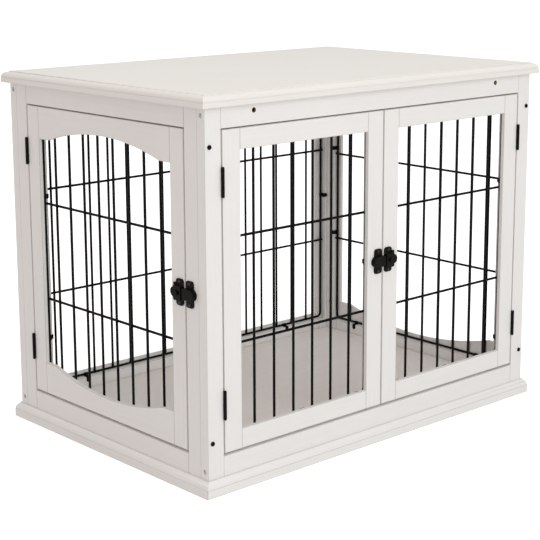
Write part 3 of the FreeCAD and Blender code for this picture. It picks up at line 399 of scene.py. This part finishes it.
# A fine groove with a ledge under the rounded edge of the top.
def cutTopGroove(bm):
    ledge = topGroove["level"] + topGroove["ledge"]
    for level in (topGroove["level"], ledge):
        bmesh.ops.bisect_plane(bm, geom=bm.verts[:] + bm.edges[:] + bm.faces[:],
                               plane_co=(0, 0, level * mm), plane_no=(0, 0, 1))
    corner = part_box("table_top")[1]
    for vert in bm.verts:
        height = vert.co.z / mm + topGroove["near"]
        if height < ledge:
            continue
        inward = topGroove["depth" if height < topGroove["roundFoot"] else "roundInset"]
        for axis in (0, 1):
            if abs(vert.co[axis]) > corner[axis] - topGroove["reach"] * mm:
                vert.co[axis] -= math.copysign(inward * mm, vert.co[axis])


for boardNode, slot in nodeSlot.items():
    if slot not in ("white_wood", "painted_hidden_wood"):
        continue
    isTop = boardNode == "table_top"
    low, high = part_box(boardNode)
    size = high - low
    longest = max(range(3), key=lambda axis: size[axis])
    coat = {"table_top": topPaint, "floor_panel": floorLitPaint}.get(boardNode, boardPaint[longest])
    softenedCopy(boardNode, topEdge if isTop else boardEdge, [coat, rawWood, edgeShadePaint],
                 inCounterbore, cutTopGroove if isTop else None)
print("boards painted")


wire = {
    "rimRadius": 2.1,
    "wireRadius": 2.25,       # with its coating
    "bend": 8,
    "barPlane": 3.1,          # from the uprights' middle to the bars'
    "barEnd": 1.5,
    "beadRadius": 2.35,
    "crossBead": (0.85, 0.8, 0.85),    # how the beads are squashed
    "rimBead": (1.05, 0.9, 0.95),
    "beadDetail": 2,
    "bendSteps": 6,
    "rimSides": 14,
    "wireSides": 12,
}
# Middle is the place along the wall, foot the height of the rim's lowest wire, pitch and count
# are the upright wires', and the bars lie barInset from the foot and the top.
doorPanel = {"height": 456, "foot": 93, "barInset": 142}
fixedPanel = {"height": 534, "foot": 53, "barInset": 176}
wirePanels = {
    "left_door": dict(doorPanel, wall="front", middle=-178.55, width=290.7, pitch=42.7, count=6),
    "right_door": dict(doorPanel, wall="front", middle=178.55, width=290.7, pitch=42.7, count=6),
    "side_door": dict(doorPanel, wall="left", middle=0, width=364.8, pitch=41.7, count=8),
    "back": dict(fixedPanel, wall="back", middle=0, width=725, pitch=42.6, count=16, barInset=170),
    "right": dict(fixedPanel, wall="right", middle=0, width=448, pitch=41, count=10),
}
wallTurns = {"front": 0, "back": 180, "left": -90, "right": 90}
panelSizes = ("width", "height", "pitch", "barInset", "rimRadius", "wireRadius", "bend",
              "barEnd", "barPlane", "beadRadius")


def moved(spot):
    return Matrix.Translation(Vector(spot) * mm)


def turned(degrees, axis):
    return Matrix.Rotation(math.radians(degrees), 4, axis)


# A wall's own frame: X along it, Y into the cabinet, Z up.
def wallMatrix(panel):
    wall, along, height = panel["wall"], panel["middle"], panel["foot"]
    half = cabinet["halfY"] if wall in ("front", "back") else cabinet["halfX"]
    face = half - cabinet["wirePlane"]
    spot = {"front": (along, -face, height), "back": (along, face, height),
            "left": (-face, along, height), "right": (face, along, height)}[wall]
    return moved(spot) @ turned(wallTurns[wall], "Z")


# A geometry tree with named inputs, and the identifier of each.
def newTree(name, inputs):
    tree = bpy.data.node_groups.new(name, "GeometryNodeTree")
    tree.interface.new_socket(name="Geometry", in_out="INPUT", socket_type="NodeSocketGeometry")
    names = {}
    for label, kind in inputs:
        socket = tree.interface.new_socket(name=label, in_out="INPUT", socket_type=kind)
        names[label] = socket.identifier
    tree.interface.new_socket(name="Geometry", in_out="OUTPUT", socket_type="NodeSocketGeometry")
    return tree, names, tree.nodes.new("NodeGroupInput"), tree.nodes.new("NodeGroupOutput")


# Ends a tree: real geometry, smooth, in its material.
def finishTree(tree, entry, leave, geometry):
    real = addNode(tree, "GeometryNodeRealizeInstances", Geometry=geometry).outputs[0]
    smooth = addNode(tree, "GeometryNodeSetShadeSmooth", Geometry=real).outputs[0]
    done = addNode(tree, "GeometryNodeSetMaterial", Geometry=smooth,
                   Material=entry.outputs["Material"]).outputs[0]
    tree.links.new(done, leave.inputs[0])


def joinGeometry(tree, *parts):
    node = tree.nodes.new("GeometryNodeJoinGeometry")
    for part in parts:
        tree.links.new(part, node.inputs[0])
    return node.outputs[0]


def combine(tree, x=0.0, y=0.0, z=0.0):
    return addNode(tree, "ShaderNodeCombineXYZ", X=x, Y=y, Z=z).outputs[0]


def sweep(tree, line, radius, sides):
    section = addNode(tree, "GeometryNodeCurvePrimitiveCircle", Resolution=sides,
                      Radius=radius).outputs["Curve"]
    return addNode(tree, "GeometryNodeCurveToMesh", i0=line, i1=section,
                   **{"Fill Caps": True}).outputs[0]


def straightWire(tree, radius, start, end):
    line = addNode(tree, "GeometryNodeCurvePrimitiveLine", Start=start, End=end).outputs[0]
    return sweep(tree, line, radius, wire["wireSides"])


def pointRow(tree, count, step, start=(0, 0, 0)):
    return addNode(tree, "GeometryNodeMeshLine", Count=count, Offset=step,
                   **{"Start Location": start}).outputs[0]


def copies(tree, points, part, **inputs):
    return addNode(tree, "GeometryNodeInstanceOnPoints", Points=points, Instance=part,
                   **inputs).outputs[0]


# Rim wire, upright wires in its plane, two bars over them and a weld bead at each crossing.
def panelTree():
    tree, names, entry, leave = newTree("weldedPanel", [
        *((size, "NodeSocketFloat") for size in panelSizes),
        ("count", "NodeSocketInt"), ("Material", "NodeSocketMaterial")])
    get = entry.outputs
    outline = addNode(tree, "GeometryNodeCurvePrimitiveQuadrilateral", Width=get["width"],
                      Height=get["height"]).outputs[0]
    bent = addNode(tree, "GeometryNodeFilletCurve", {"mode": "POLY"}, Curve=outline,
                   Count=wire["bendSteps"], Radius=get["bend"]).outputs[0]
    halfUp = mathNode(tree, "MULTIPLY", get["height"], 0.5)
    rim = addNode(tree, "GeometryNodeTransform",
                  Geometry=sweep(tree, bent, get["rimRadius"], wire["rimSides"]),
                  Translation=combine(tree, z=halfUp), Rotation=(math.pi / 2, 0, 0)).outputs[0]
    upright = straightWire(tree, get["wireRadius"], (0, 0, 0), combine(tree, z=get["height"]))
    gaps = mathNode(tree, "SUBTRACT", get["count"], 1.0)
    firstX = mathNode(tree, "MULTIPLY", get["pitch"], mathNode(tree, "MULTIPLY", gaps, -0.5))
    feet = pointRow(tree, get["count"], combine(tree, x=get["pitch"]), combine(tree, x=firstX))
    uprights = copies(tree, feet, upright)
    reach = mathNode(tree, "ADD", mathNode(tree, "MULTIPLY", get["width"], 0.5), get["barEnd"])
    barStart = combine(tree, x=mathNode(tree, "MULTIPLY", reach, -1.0))
    bar = straightWire(tree, get["wireRadius"], barStart, combine(tree, x=reach))
    barStep = combine(tree, z=mathNode(tree, "SUBTRACT", get["height"],
                                       mathNode(tree, "MULTIPLY", get["barInset"], 2.0)))
    barFeet = combine(tree, y=get["barPlane"], z=get["barInset"])
    bars = copies(tree, pointRow(tree, 2, barStep, barFeet), bar)
    # beads: between the wires at each crossing, and where the uprights meet the rim
    bead = addNode(tree, "GeometryNodeMeshIcoSphere", Radius=get["beadRadius"],
                   Subdivisions=wire["beadDetail"]).outputs[0]
    halfPlane = mathNode(tree, "MULTIPLY", get["barPlane"], 0.5)
    crossings = pointRow(tree, 2, barStep, combine(tree, y=halfPlane, z=get["barInset"]))
    beads = copies(tree, crossings, copies(tree, feet, bead, Scale=wire["crossBead"]))
    rimEnds = pointRow(tree, 2, combine(tree, z=get["height"]))
    rimBeads = copies(tree, rimEnds, copies(tree, feet, bead, Scale=wire["rimBead"]))
    finishTree(tree, entry, leave, joinGeometry(tree, rim, uprights, bars, beads, rimBeads))
    return tree, names


# One part placed at every point of the mesh, turned as the point says.
def siteTree():
    tree, names, entry, leave = newTree("partAtSites", [("Part", "NodeSocketObject"),
                                                        ("Material", "NodeSocketMaterial")])
    part = addNode(tree, "GeometryNodeObjectInfo", Object=entry.outputs["Part"])
    turn = addNode(tree, "GeometryNodeInputNamedAttribute", {"data_type": "FLOAT_VECTOR"},
                   Name="turn").outputs["Attribute"]
    rotation = addNode(tree, "FunctionNodeEulerToRotation", i0=turn).outputs[0]
    finishTree(tree, entry, leave, copies(tree, entry.outputs["Geometry"],
                                          part.outputs["Geometry"], Rotation=rotation))
    return tree, names


# Runs a tree on a mesh and gives the plain mesh that comes out.
def runTree(mesh, tree, names, values):
    worker = newObject("worker", mesh)
    modifier = worker.modifiers.new("make", "NODES")
    modifier.node_group = tree
    for label, value in values.items():
        modifier[names[label]] = value
    return evaluatedMesh(worker)


sharpAngle = 32


def markSharp(mesh):
    mesh.set_sharp_from_angle(angle=math.radians(sharpAngle))


weldedPanel, panelInputs = panelTree()
partAtSites, siteInputs = siteTree()
for panelName, panel in wirePanels.items():
    sizes = dict(wire, **panel)
    values = {size: sizes[size] * mm for size in panelSizes}
    values.update(count=panel["count"], Material=wireCoat)
    panelMesh = runTree(bpy.data.meshes.new("start"), weldedPanel, panelInputs, values)
    panelMesh.transform(wallMatrix(panel))
    markSharp(panelMesh)
    registerPiece(f"{panelName}_wire_panel", panelMesh)
print("wire panels welded")


turnedSides = 24


# Faces between two closed loops of points.
def addSides(bm, lower, upper):
    for number in range(len(lower)):
        after = (number + 1) % len(lower)
        bm.faces.new((lower[number], lower[after], upper[after], upper[number]))


# A closed part from rings of (radius or radius by angle, height), from its foot to its head.
def turnedPart(name, rings):
    bm = bmesh.new()
    loops = []
    for radius, height in rings:
        loop = []
        for number in range(turnedSides):
            angle = 2 * math.pi * number / turnedSides
            reach = (radius(angle) if callable(radius) else radius) * mm
            loop.append(bm.verts.new((reach * math.cos(angle), reach * math.sin(angle),
                                      height * mm)))
        loops.append(loop)
    for lower, upper in zip(loops, loops[1:]):
        addSides(bm, lower, upper)
    bm.faces.new(list(reversed(loops[0])))
    bm.faces.new(loops[-1])
    bmesh.ops.recalc_face_normals(bm, faces=bm.faces)
    return newObject(name, finishedMesh(name, bm))


# Radius by angle of a hexagon with this half width across its flats.
def hexSocket(flat):
    return lambda angle: flat / math.cos((angle % (math.pi / 3)) - math.pi / 6)


# Radius by angle of a cross recess.
def crossSocket(arm, half):
    def radius(angle):
        c, s = abs(math.cos(angle)) + 1e-9, abs(math.sin(angle)) + 1e-9
        return max(min(arm / c, half / s), min(arm / s, half / c))
    return radius


# Widths and the taper are shares of the shank's radius, the bare part is one of its length, and
# the groove's drop is one of the pitch.
thread = {"tip": 0.25, "shoulder": 0.75, "taper": 1.6, "groove": 0.74, "drop": 0.4, "bare": 0.22,
          "neck": 0.8}
# (share of the head's radius, share of its height)
roundHead = ((1, 0), (1, 0.45), (0.93, 0.75), (0.78, 0.94), (0.62, 1))
flushHead = ((0.55, -1), (1, -0.2), (1, 0))
# the recess's floor: (share of its width, share of its depth)
recessFloor = {"key": (0.4, 1.25), "slot": (0.8, 1.5)}


# A pointed shank with a ridge every pitch, from its tip up to just under the head.
def threadRings(radius, length, pitch):
    level = -length + thread["taper"] * radius
    rings = [(thread["tip"] * radius, -length), (thread["shoulder"] * radius, level)]
    level += pitch
    while level < -thread["bare"] * length:
        rings += [(thread["groove"] * radius, level - thread["drop"] * pitch), (radius, level)]
        level += pitch
    return rings + [(thread["neck"] * radius, level), (thread["neck"] * radius, 0)]


# A screw with its head's seat at the origin, its head on +Z. A flush one has its head's top there.
def screwPart(name, screw):
    rings = threadRings(screw["radius"], screw["length"], screw["pitch"])
    flush = "flush" in screw
    if flush:
        rings = [(r, z - screw["tall"]) for r, z in rings]
    outline = flushHead if flush else roundHead
    rings += [(r * screw["head"], z * screw["tall"]) for r, z in outline]
    top = 0 if flush else screw["tall"]
    socket = hexSocket(screw["key"]) if "key" in screw else crossSocket(screw["arm"], screw["slot"])
    rings += [(socket, top), (socket, top - screw["deep"])]
    width = "key" if "key" in screw else "slot"
    narrower, deeper = recessFloor[width]
    rings.append((screw[width] * narrower, top - screw["deep"] * deeper))
    return turnedPart(name, rings)


smallScrew = {"radius": 1.25, "length": 8.8, "pitch": 1.1, "head": 2.4, "tall": 1.3,
              "arm": 1.35, "slot": 0.33, "deep": 0.55}
cleatScrew = {"radius": 1.7, "length": 35.8, "pitch": 1.6, "head": 3.4, "tall": 1.8,
              "arm": 2.0, "slot": 0.45, "deep": 0.9}
screws = {
    "clip": smallScrew,
    "latch": dict(smallScrew, length=11.8),
    "hinge": dict(smallScrew, length=10.7, tall=1.1, flush=True),
    "cleat": cleatScrew,
    "frame": {"radius": 1.95, "length": 51.8, "pitch": 1.9, "head": 3.6, "tall": 3.0,
              "arm": 2.1, "slot": 0.5, "deep": 1.2},
    "post": {"radius": 2.45, "length": 31.8, "pitch": 1.0, "head": 3.75, "tall": 2.4,
             "key": 1.55, "deep": 1.3},
    "floorCleat": dict(cleatScrew, length=26.8),
}
clip = {
    "inner": 2.15,           # radius inside the curl
    "thick": 1.0,
    "width": 8,
    "face": 8.9,             # the board's face, from the rim wire's middle
    "tabStart": 3.7,
    "tab": 11,
    "shortTab": 6,
    "bend": 1.3,
    "insideBend": 0.3,
    "endFlat": 0.1,          # half of what stays straight at the tab's round end
    "endSegments": 6,
    "fromCorner": 26,
    "fromBar": 12,
    "fromCleat": 48,
}


# A strap that curls over the rim wire, climbs to the board's face and ends in a tab.
def clipStrap(name, tabLength):
    inner, outer = clip["inner"], clip["inner"] + clip["thick"]
    face, top = clip["face"], clip["face"] + clip["thick"]
    bend, insideBend = clip["bend"], clip["insideBend"]
    end = clip["tabStart"] + min(tabLength, (tabLength + clip["width"]) / 2)
    roundEnd = min(tabLength / 2, clip["width"] / 2 - clip["endFlat"])
    outline = []

    def arc(cx, cy, radius, start, stop, steps):
        for number in range(steps + 1):
            angle = math.radians(start + (stop - start) * number / steps)
            outline.append((cx + radius * math.cos(angle), cy + radius * math.sin(angle)))

    arc(0, 0, outer, 180, math.degrees(math.acos(inner / outer)), 10)
    arc(inner + bend, top - bend, bend, 180, 90, 5)
    outline += [(end, top), (end, face)]
    arc(outer + insideBend, face - insideBend, insideBend, 90, 180, 3)
    outline.append((outer, 0))
    arc(0, 0, inner, 0, 180, 12)
    bm = bmesh.new()
    half = clip["width"] / 2 * mm
    lower = [bm.verts.new((x * mm, y * mm, -half)) for x, y in outline]
    upper = [bm.verts.new((x * mm, y * mm, half)) for x, y in outline]
    bm.faces.new(list(reversed(lower)))
    bm.faces.new(upper)
    addSides(bm, lower, upper)
    bmesh.ops.recalc_face_normals(bm, faces=bm.faces)
    corners = [line for line in bm.edges
               if all(abs(vert.co.x - end * mm) < 1e-7 for vert in line.verts)
               and line.verts[0].co.z == line.verts[1].co.z]
    bmesh.ops.bevel(bm, geom=corners, offset=roundEnd * mm, segments=clip["endSegments"],
                    affect="EDGES", profile=0.5)
    return newObject(name, finishedMesh(name, bm))


# Points with the turn of each, from 4x4 matrices.
def siteMesh(sites):
    mesh = bpy.data.meshes.new("sites")
    mesh.from_pydata([tuple(site.translation) for site in sites], [], [])
    turns = mesh.attributes.new("turn", "FLOAT_VECTOR", "POINT")
    for number, site in enumerate(sites):
        turns.data[number].vector = site.to_euler()
    return mesh


# A place in millimetres whose Z points along direction.
def facing(spot, direction):
    return moved(spot) @ Vector(direction).to_track_quat("Z", "Y").to_matrix().to_4x4()


# One mesh from several, each with its own material.
def joinedMesh(name, groups):
    bm = bmesh.new()
    mesh = bpy.data.meshes.new(name)
    for part, material in groups:
        if material.name not in mesh.materials:
            mesh.materials.append(material)
        slot = list(mesh.materials).index(material)
        markSharp(part)
        part.polygons.foreach_set("material_index", [slot] * len(part.polygons))
        bm.from_mesh(part)
    bm.to_mesh(mesh)
    bm.free()
    return mesh


def registerJoined(node, groups):
    registerPiece(node, joinedMesh(camelName(node), groups))


# Places of a panel's clips along each side of its rim, as in the joinery.
def clipAlongs(panelName):
    panel = wirePanels[panelName]
    width, height, bar, pitch = panel["width"], panel["height"], panel["barInset"], panel["pitch"]
    halfStep = 0.5 if panel["count"] % 2 else 0
    low, high = bar + clip["fromBar"], height - bar + clip["fromBar"]
    foot, corner = clip["fromCorner"], width / 2 - clip["fromCorner"]
    beside = holes["cleatX"] - clip["fromCleat"]

    # the middle of the nearest gap between upright wires
    def gap(x):
        return (round(x / pitch - halfStep) + halfStep) * pitch

    left, right, ends = {
        "left_door": ((foot, high), (height / 2,), (0, corner)),
        "right_door": ((height / 2,), (foot, high), (-corner, 0)),
        "side_door": ((bar / 2, high), (bar / 2, high), (-width / 4, width / 4)),
        "back": ((height / 2,), (height / 2,), (-beside, 0, beside)),
        "right": ((low, high), (low, high), (-width / 3, width / 3)),
    }[panelName]
    ends = [gap(x) for x in ends]
    return {"left": left, "right": right, "bottom": ends, "top": ends}


strapSites, screwSites = {}, {}


def addSite(table, body, kind, site):
    table.setdefault(body, {}).setdefault(kind, []).append(site)


for panelName, panel in wirePanels.items():
    body = nodeBody[f"{panelName}_wire_panel"]
    halfWidth = panel["width"] / 2
    for side, alongs in clipAlongs(panelName).items():
        short = panelName == "back" and side in ("left", "right")
        tab = clip["shortTab"] if short else clip["tab"]
        for along in alongs:
            spot, turn = {"right": ((halfWidth, 0, along), 0),
                          "top": ((along, 0, panel["height"]), -90),
                          "left": ((-halfWidth, 0, along), 180),
                          "bottom": ((along, 0, 0), 90)}[side]
            site = wallMatrix(panel) @ moved(spot) @ turned(turn, "Y")
            addSite(strapSites, body, "short" if short else "long", site)
            seat = facing((clip["tabStart"] + tab / 2, clip["face"] + clip["thick"], 0), (0, 1, 0))
            addSite(screwSites, body, "clip", site @ seat)

hinge = {"levels": (144, 498), "offset": 1.3, "leaf": 1.1, "middle": 9.4, "spacing": 26,
         "frontX": 357.2, "frontY": -269.4, "sideX": -393.4, "sideY": 216.2}
hingeAxes = {
    "left_door": moved((-hinge["frontX"], hinge["frontY"], 0)),
    "right_door": moved((hinge["frontX"], hinge["frontY"], 0)) @ turned(180, "Y"),
    "side_door": moved((hinge["sideX"], hinge["sideY"], 0)) @ turned(-90, "Z"),
}
for door, axis in hingeAxes.items():
    for level in hinge["levels"]:
        lift = Matrix.Translation((0, 0, level * mm))
        for side, body in ((-1, "cabinet"), (1, door)):
            for end in (-1, 1):
                face = (side * (hinge["offset"] - hinge["leaf"]), hinge["middle"],
                        end * hinge["spacing"] / 2)
                addSite(screwSites, body, "hinge", lift @ axis @ facing(face, (-side, 0, 0)))

latch = {"level": 321, "screw": 17, "middle": 9, "plate": 2, "edge": 3.2,
         "sideBody": -212.9, "sideKeeper": -219.5}
for end in (-1, 1):
    level = latch["level"] + end * latch["screw"]
    frontY = -cabinet["halfY"] - latch["plate"]
    sideX = -cabinet["halfX"] - latch["plate"]
    reach = latch["edge"] + latch["middle"]
    addSite(screwSites, "right_door", "latch", facing((reach, frontY, level), (0, -1, 0)))
    addSite(screwSites, "left_door", "latch", facing((-reach, frontY, level), (0, -1, 0)))
    addSite(screwSites, "side_door", "latch",
            facing((sideX, latch["sideBody"] + latch["middle"], level), (-1, 0, 0)))
    addSite(screwSites, "cabinet", "latch",
            facing((sideX, latch["sideKeeper"] - latch["middle"], level), (-1, 0, 0)))

hidden = {"cleatY": 150, "cleatFoot": 592, "floorLevel": 12.5, "floorX": 223.5, "floorY": 233.5,
          "sideX": 357.5, "sideY": 149.1}
boardMiddle = cabinet["halfX"] - cabinet["board"] / 2
holeFloor = cabinet["halfY"] - holes["depth"]
frameSites, cleatBoltSites, boltSites = [], [], []
for sx in (-1, 1):
    for sy in (-1, 1):
        addSite(screwSites, "cabinet", "cleat", facing(
            (sx * holes["cleatX"], sy * hidden["cleatY"], hidden["cleatFoot"]), (0, 0, -1)))
        addSite(screwSites, "cabinet", "floorCleat", facing(
            (sx * hidden["floorX"], sy * hidden["floorY"], hidden["floorLevel"]), (0, -sy, 0)))
        addSite(screwSites, "cabinet", "floorCleat", facing(
            (sx * hidden["sideX"], sy * hidden["sideY"], hidden["floorLevel"]), (-sx, 0, 0)))
        frameSites += [facing((sx * holes["screwX"], sy * holes["screwY"], level), (sx, 0, 0))
                       for level in holes["screwLevels"]]
        cleatBoltSites.append(facing((sx * holes["cleatX"], sy * holeFloor, holes["cleatLevel"]),
                                     (0, sy, 0)))
        boltSites += [facing((sx * boardMiddle, sy * cabinet["halfY"], level), (0, sy, 0))
                      for level in holes["boltLevels"]]

screwParts = {kind: screwPart(kind + "Screw", screw) for kind, screw in screws.items()}
straps = {"long": clipStrap("longStrap", clip["tab"]),
          "short": clipStrap("shortStrap", clip["shortTab"])}


def placed(part, sites, material):
    mesh = runTree(siteMesh(sites), partAtSites, siteInputs, {"Part": part, "Material": material})
    return mesh, material


def placedScrews(body, kinds, material):
    return [placed(screwParts[kind], screwSites[body][kind], material) for kind in kinds]


def placedStraps(body, kinds):
    return [placed(straps[kind], strapSites[body][kind], wireCoat) for kind in kinds]


for door in ("left_door", "right_door", "side_door"):
    registerJoined(f"{door}_fixings", placedStraps(door, ("long",))
                   + placedScrews(door, ("clip", "hinge"), fittingCoat)
                   + placedScrews(door, ("latch",), darkSteel))
registerJoined("fixed_wire_clips", placedStraps("cabinet", ("long", "short")))
registerJoined("wood_screws", placedScrews("cabinet", ("clip", "hinge"), fittingCoat)
               + placedScrews("cabinet", ("latch",), darkSteel)
               + placedScrews("cabinet", ("cleat", "floorCleat"), zincSteel))
registerJoined("frame_screws", [placed(screwParts["frame"], frameSites, paleZinc),
                                placed(screwParts["frame"], cleatBoltSites, fittingCoat)])
registerJoined("post_bolts", [placed(screwParts["post"], boltSites, fittingCoat)])
for part in [*screwParts.values(), *straps.values()]:
    bpy.data.objects.remove(part)
print("screws, bolts and clips placed")


hardwareEdge = {"radius": 0.25, "shortest": 1.0}
latchEdge = {"radius": 0.45, "shortest": 1.2}
for hardwareNode, slot in nodeSlot.items():
    if slot == "black_hinge":
        softenedCopy(hardwareNode, hardwareEdge, [hingeCoat])
    elif slot == "black_latch":
        softenedCopy(hardwareNode, latchEdge, [latchCoat])
nodes["barrel_nuts"].data.materials.clear()
nodes["barrel_nuts"].data.materials.append(zincSteel)
print("hinges and latches made")


studio = {
    "floorSize": 60.0,
    "floorColour": (0.82, 0.82, 0.82, 1),
    "floorGlow": 0.72,
    "worldLight": 0.61,
    "worldColour": (1.0, 0.985, 0.97, 1),
    "aim": (0, 0, 0.32),      # the middle of the cabinet, where the lamps point
    "keyPower": 42.5,
    "keySize": 2.6,
    "keyPlace": (-0.65, -3.2, 1.75),
    "keyColour": (1.0, 0.998, 0.992),
    "topPower": 20.0,
    "topSize": 2.4,
    "topPlace": (-0.3, -0.2, 3.4),
    "topColour": (1.0, 0.998, 0.992),
    "fillPower": 8.0,
    "fillSize": 2.2,
    "fillPlace": (-4.0, 0.8, 1.4),
    "fillColour": (1.0, 0.45, 0.41),
}


# One for camera, glossy and transmission rays.
def seenOrMirrored(tree):
    path = tree.nodes.new("ShaderNodeLightPath")
    total = mathNode(tree, "ADD", path.outputs["Is Camera Ray"], path.outputs["Is Glossy Ray"])
    total = mathNode(tree, "ADD", total, path.outputs["Is Transmission Ray"])
    return mathNode(tree, "MINIMUM", total, 1.0)


def makeFloor():
    half = studio["floorSize"] / 2
    mesh = bpy.data.meshes.new("studioFloor")
    mesh.from_pydata([(-half, -half, 0), (half, -half, 0), (half, half, 0), (-half, half, 0)],
                     [], [(0, 1, 2, 3)])
    floor = newObject("studioFloor", mesh)
    material, tree, shader = newMaterial("paleFloor")
    tree.nodes.remove(shader)
    matt = addNode(tree, "ShaderNodeBsdfDiffuse", Color=studio["floorColour"]).outputs[0]
    strength = mathNode(tree, "MULTIPLY", seenOrMirrored(tree), studio["floorGlow"])
    glow = addNode(tree, "ShaderNodeEmission", Color=(1, 1, 1, 1), Strength=strength).outputs[0]
    both = addNode(tree, "ShaderNodeAddShader", i0=matt, i1=glow).outputs[0]
    tree.links.new(both, tree.nodes["Material Output"].inputs["Surface"])
    mesh.materials.append(material)


def makeWorld():
    world = bpy.data.worlds.new("studioWorld")
    bpy.context.scene.world = world
    world.use_nodes = True
    tree = world.node_tree
    ground = tree.nodes["Background"]
    ground.inputs["Color"].default_value = studio["worldColour"]
    ground.inputs["Strength"].default_value = studio["worldLight"]
    white = addNode(tree, "ShaderNodeBackground", Color=(1, 1, 1, 1), Strength=1.0).outputs[0]
    mix = addNode(tree, "ShaderNodeMixShader", i0=seenOrMirrored(tree), i1=ground.outputs[0],
                  i2=white)
    tree.links.new(mix.outputs[0], tree.nodes["World Output"].inputs["Surface"])


# A square soft box.
def makeLamp(name):
    lamp = bpy.data.lights.new(name + "Lamp", "AREA")
    lamp.energy = studio[name + "Power"]
    lamp.size = studio[name + "Size"]
    lamp.color = studio[name + "Colour"]
    place = Vector(studio[name + "Place"])
    direction = (Vector(studio["aim"]) - place).to_track_quat("-Z", "Y").to_matrix().to_4x4()
    newObject(name + "Lamp", lamp).matrix_world = Matrix.Translation(place) @ direction


view = {
    "place": (-1.74878643, -1.90932898, 0.86951404),
    "heading": 0.834071333,
    "pitch": -0.194484949,
    "roll": -0.00369635,
    "focal": 1437.34,        # in pixels of a 540-pixel picture
    "picture": 540,
    "sensor": 36.0,          # in millimetres
    "shiftY": -0.1,
    "nearest": 0.05,
}


def makeCamera():
    heading, pitch, roll = view["heading"], view["pitch"], view["roll"]
    forward = Vector((math.cos(pitch) * math.cos(heading), math.cos(pitch) * math.sin(heading),
                      math.sin(pitch)))
    right = Vector((math.sin(heading), -math.cos(heading), 0))
    up = right.cross(forward)
    turnedRight = right * math.cos(roll) + up * math.sin(roll)
    turnedUp = up * math.cos(roll) - right * math.sin(roll)
    lens = bpy.data.cameras.new("photoCamera")
    lens.sensor_width = view["sensor"]
    lens.lens = view["focal"] / view["picture"] * view["sensor"]
    lens.shift_y = view["shiftY"]
    lens.clip_start = view["nearest"]
    camera = newObject("photoCamera", lens)
    camera.matrix_world = Matrix.Translation(view["place"]) @ Matrix(
        (turnedRight, turnedUp, -forward)).transposed().to_4x4()
    bpy.context.scene.camera = camera


makeFloor()
makeWorld()
for lampName in ("key", "top", "fill"):
    makeLamp(lampName)
makeCamera()
bpy.context.scene.view_settings.view_transform = "Standard"
print("studio lit")
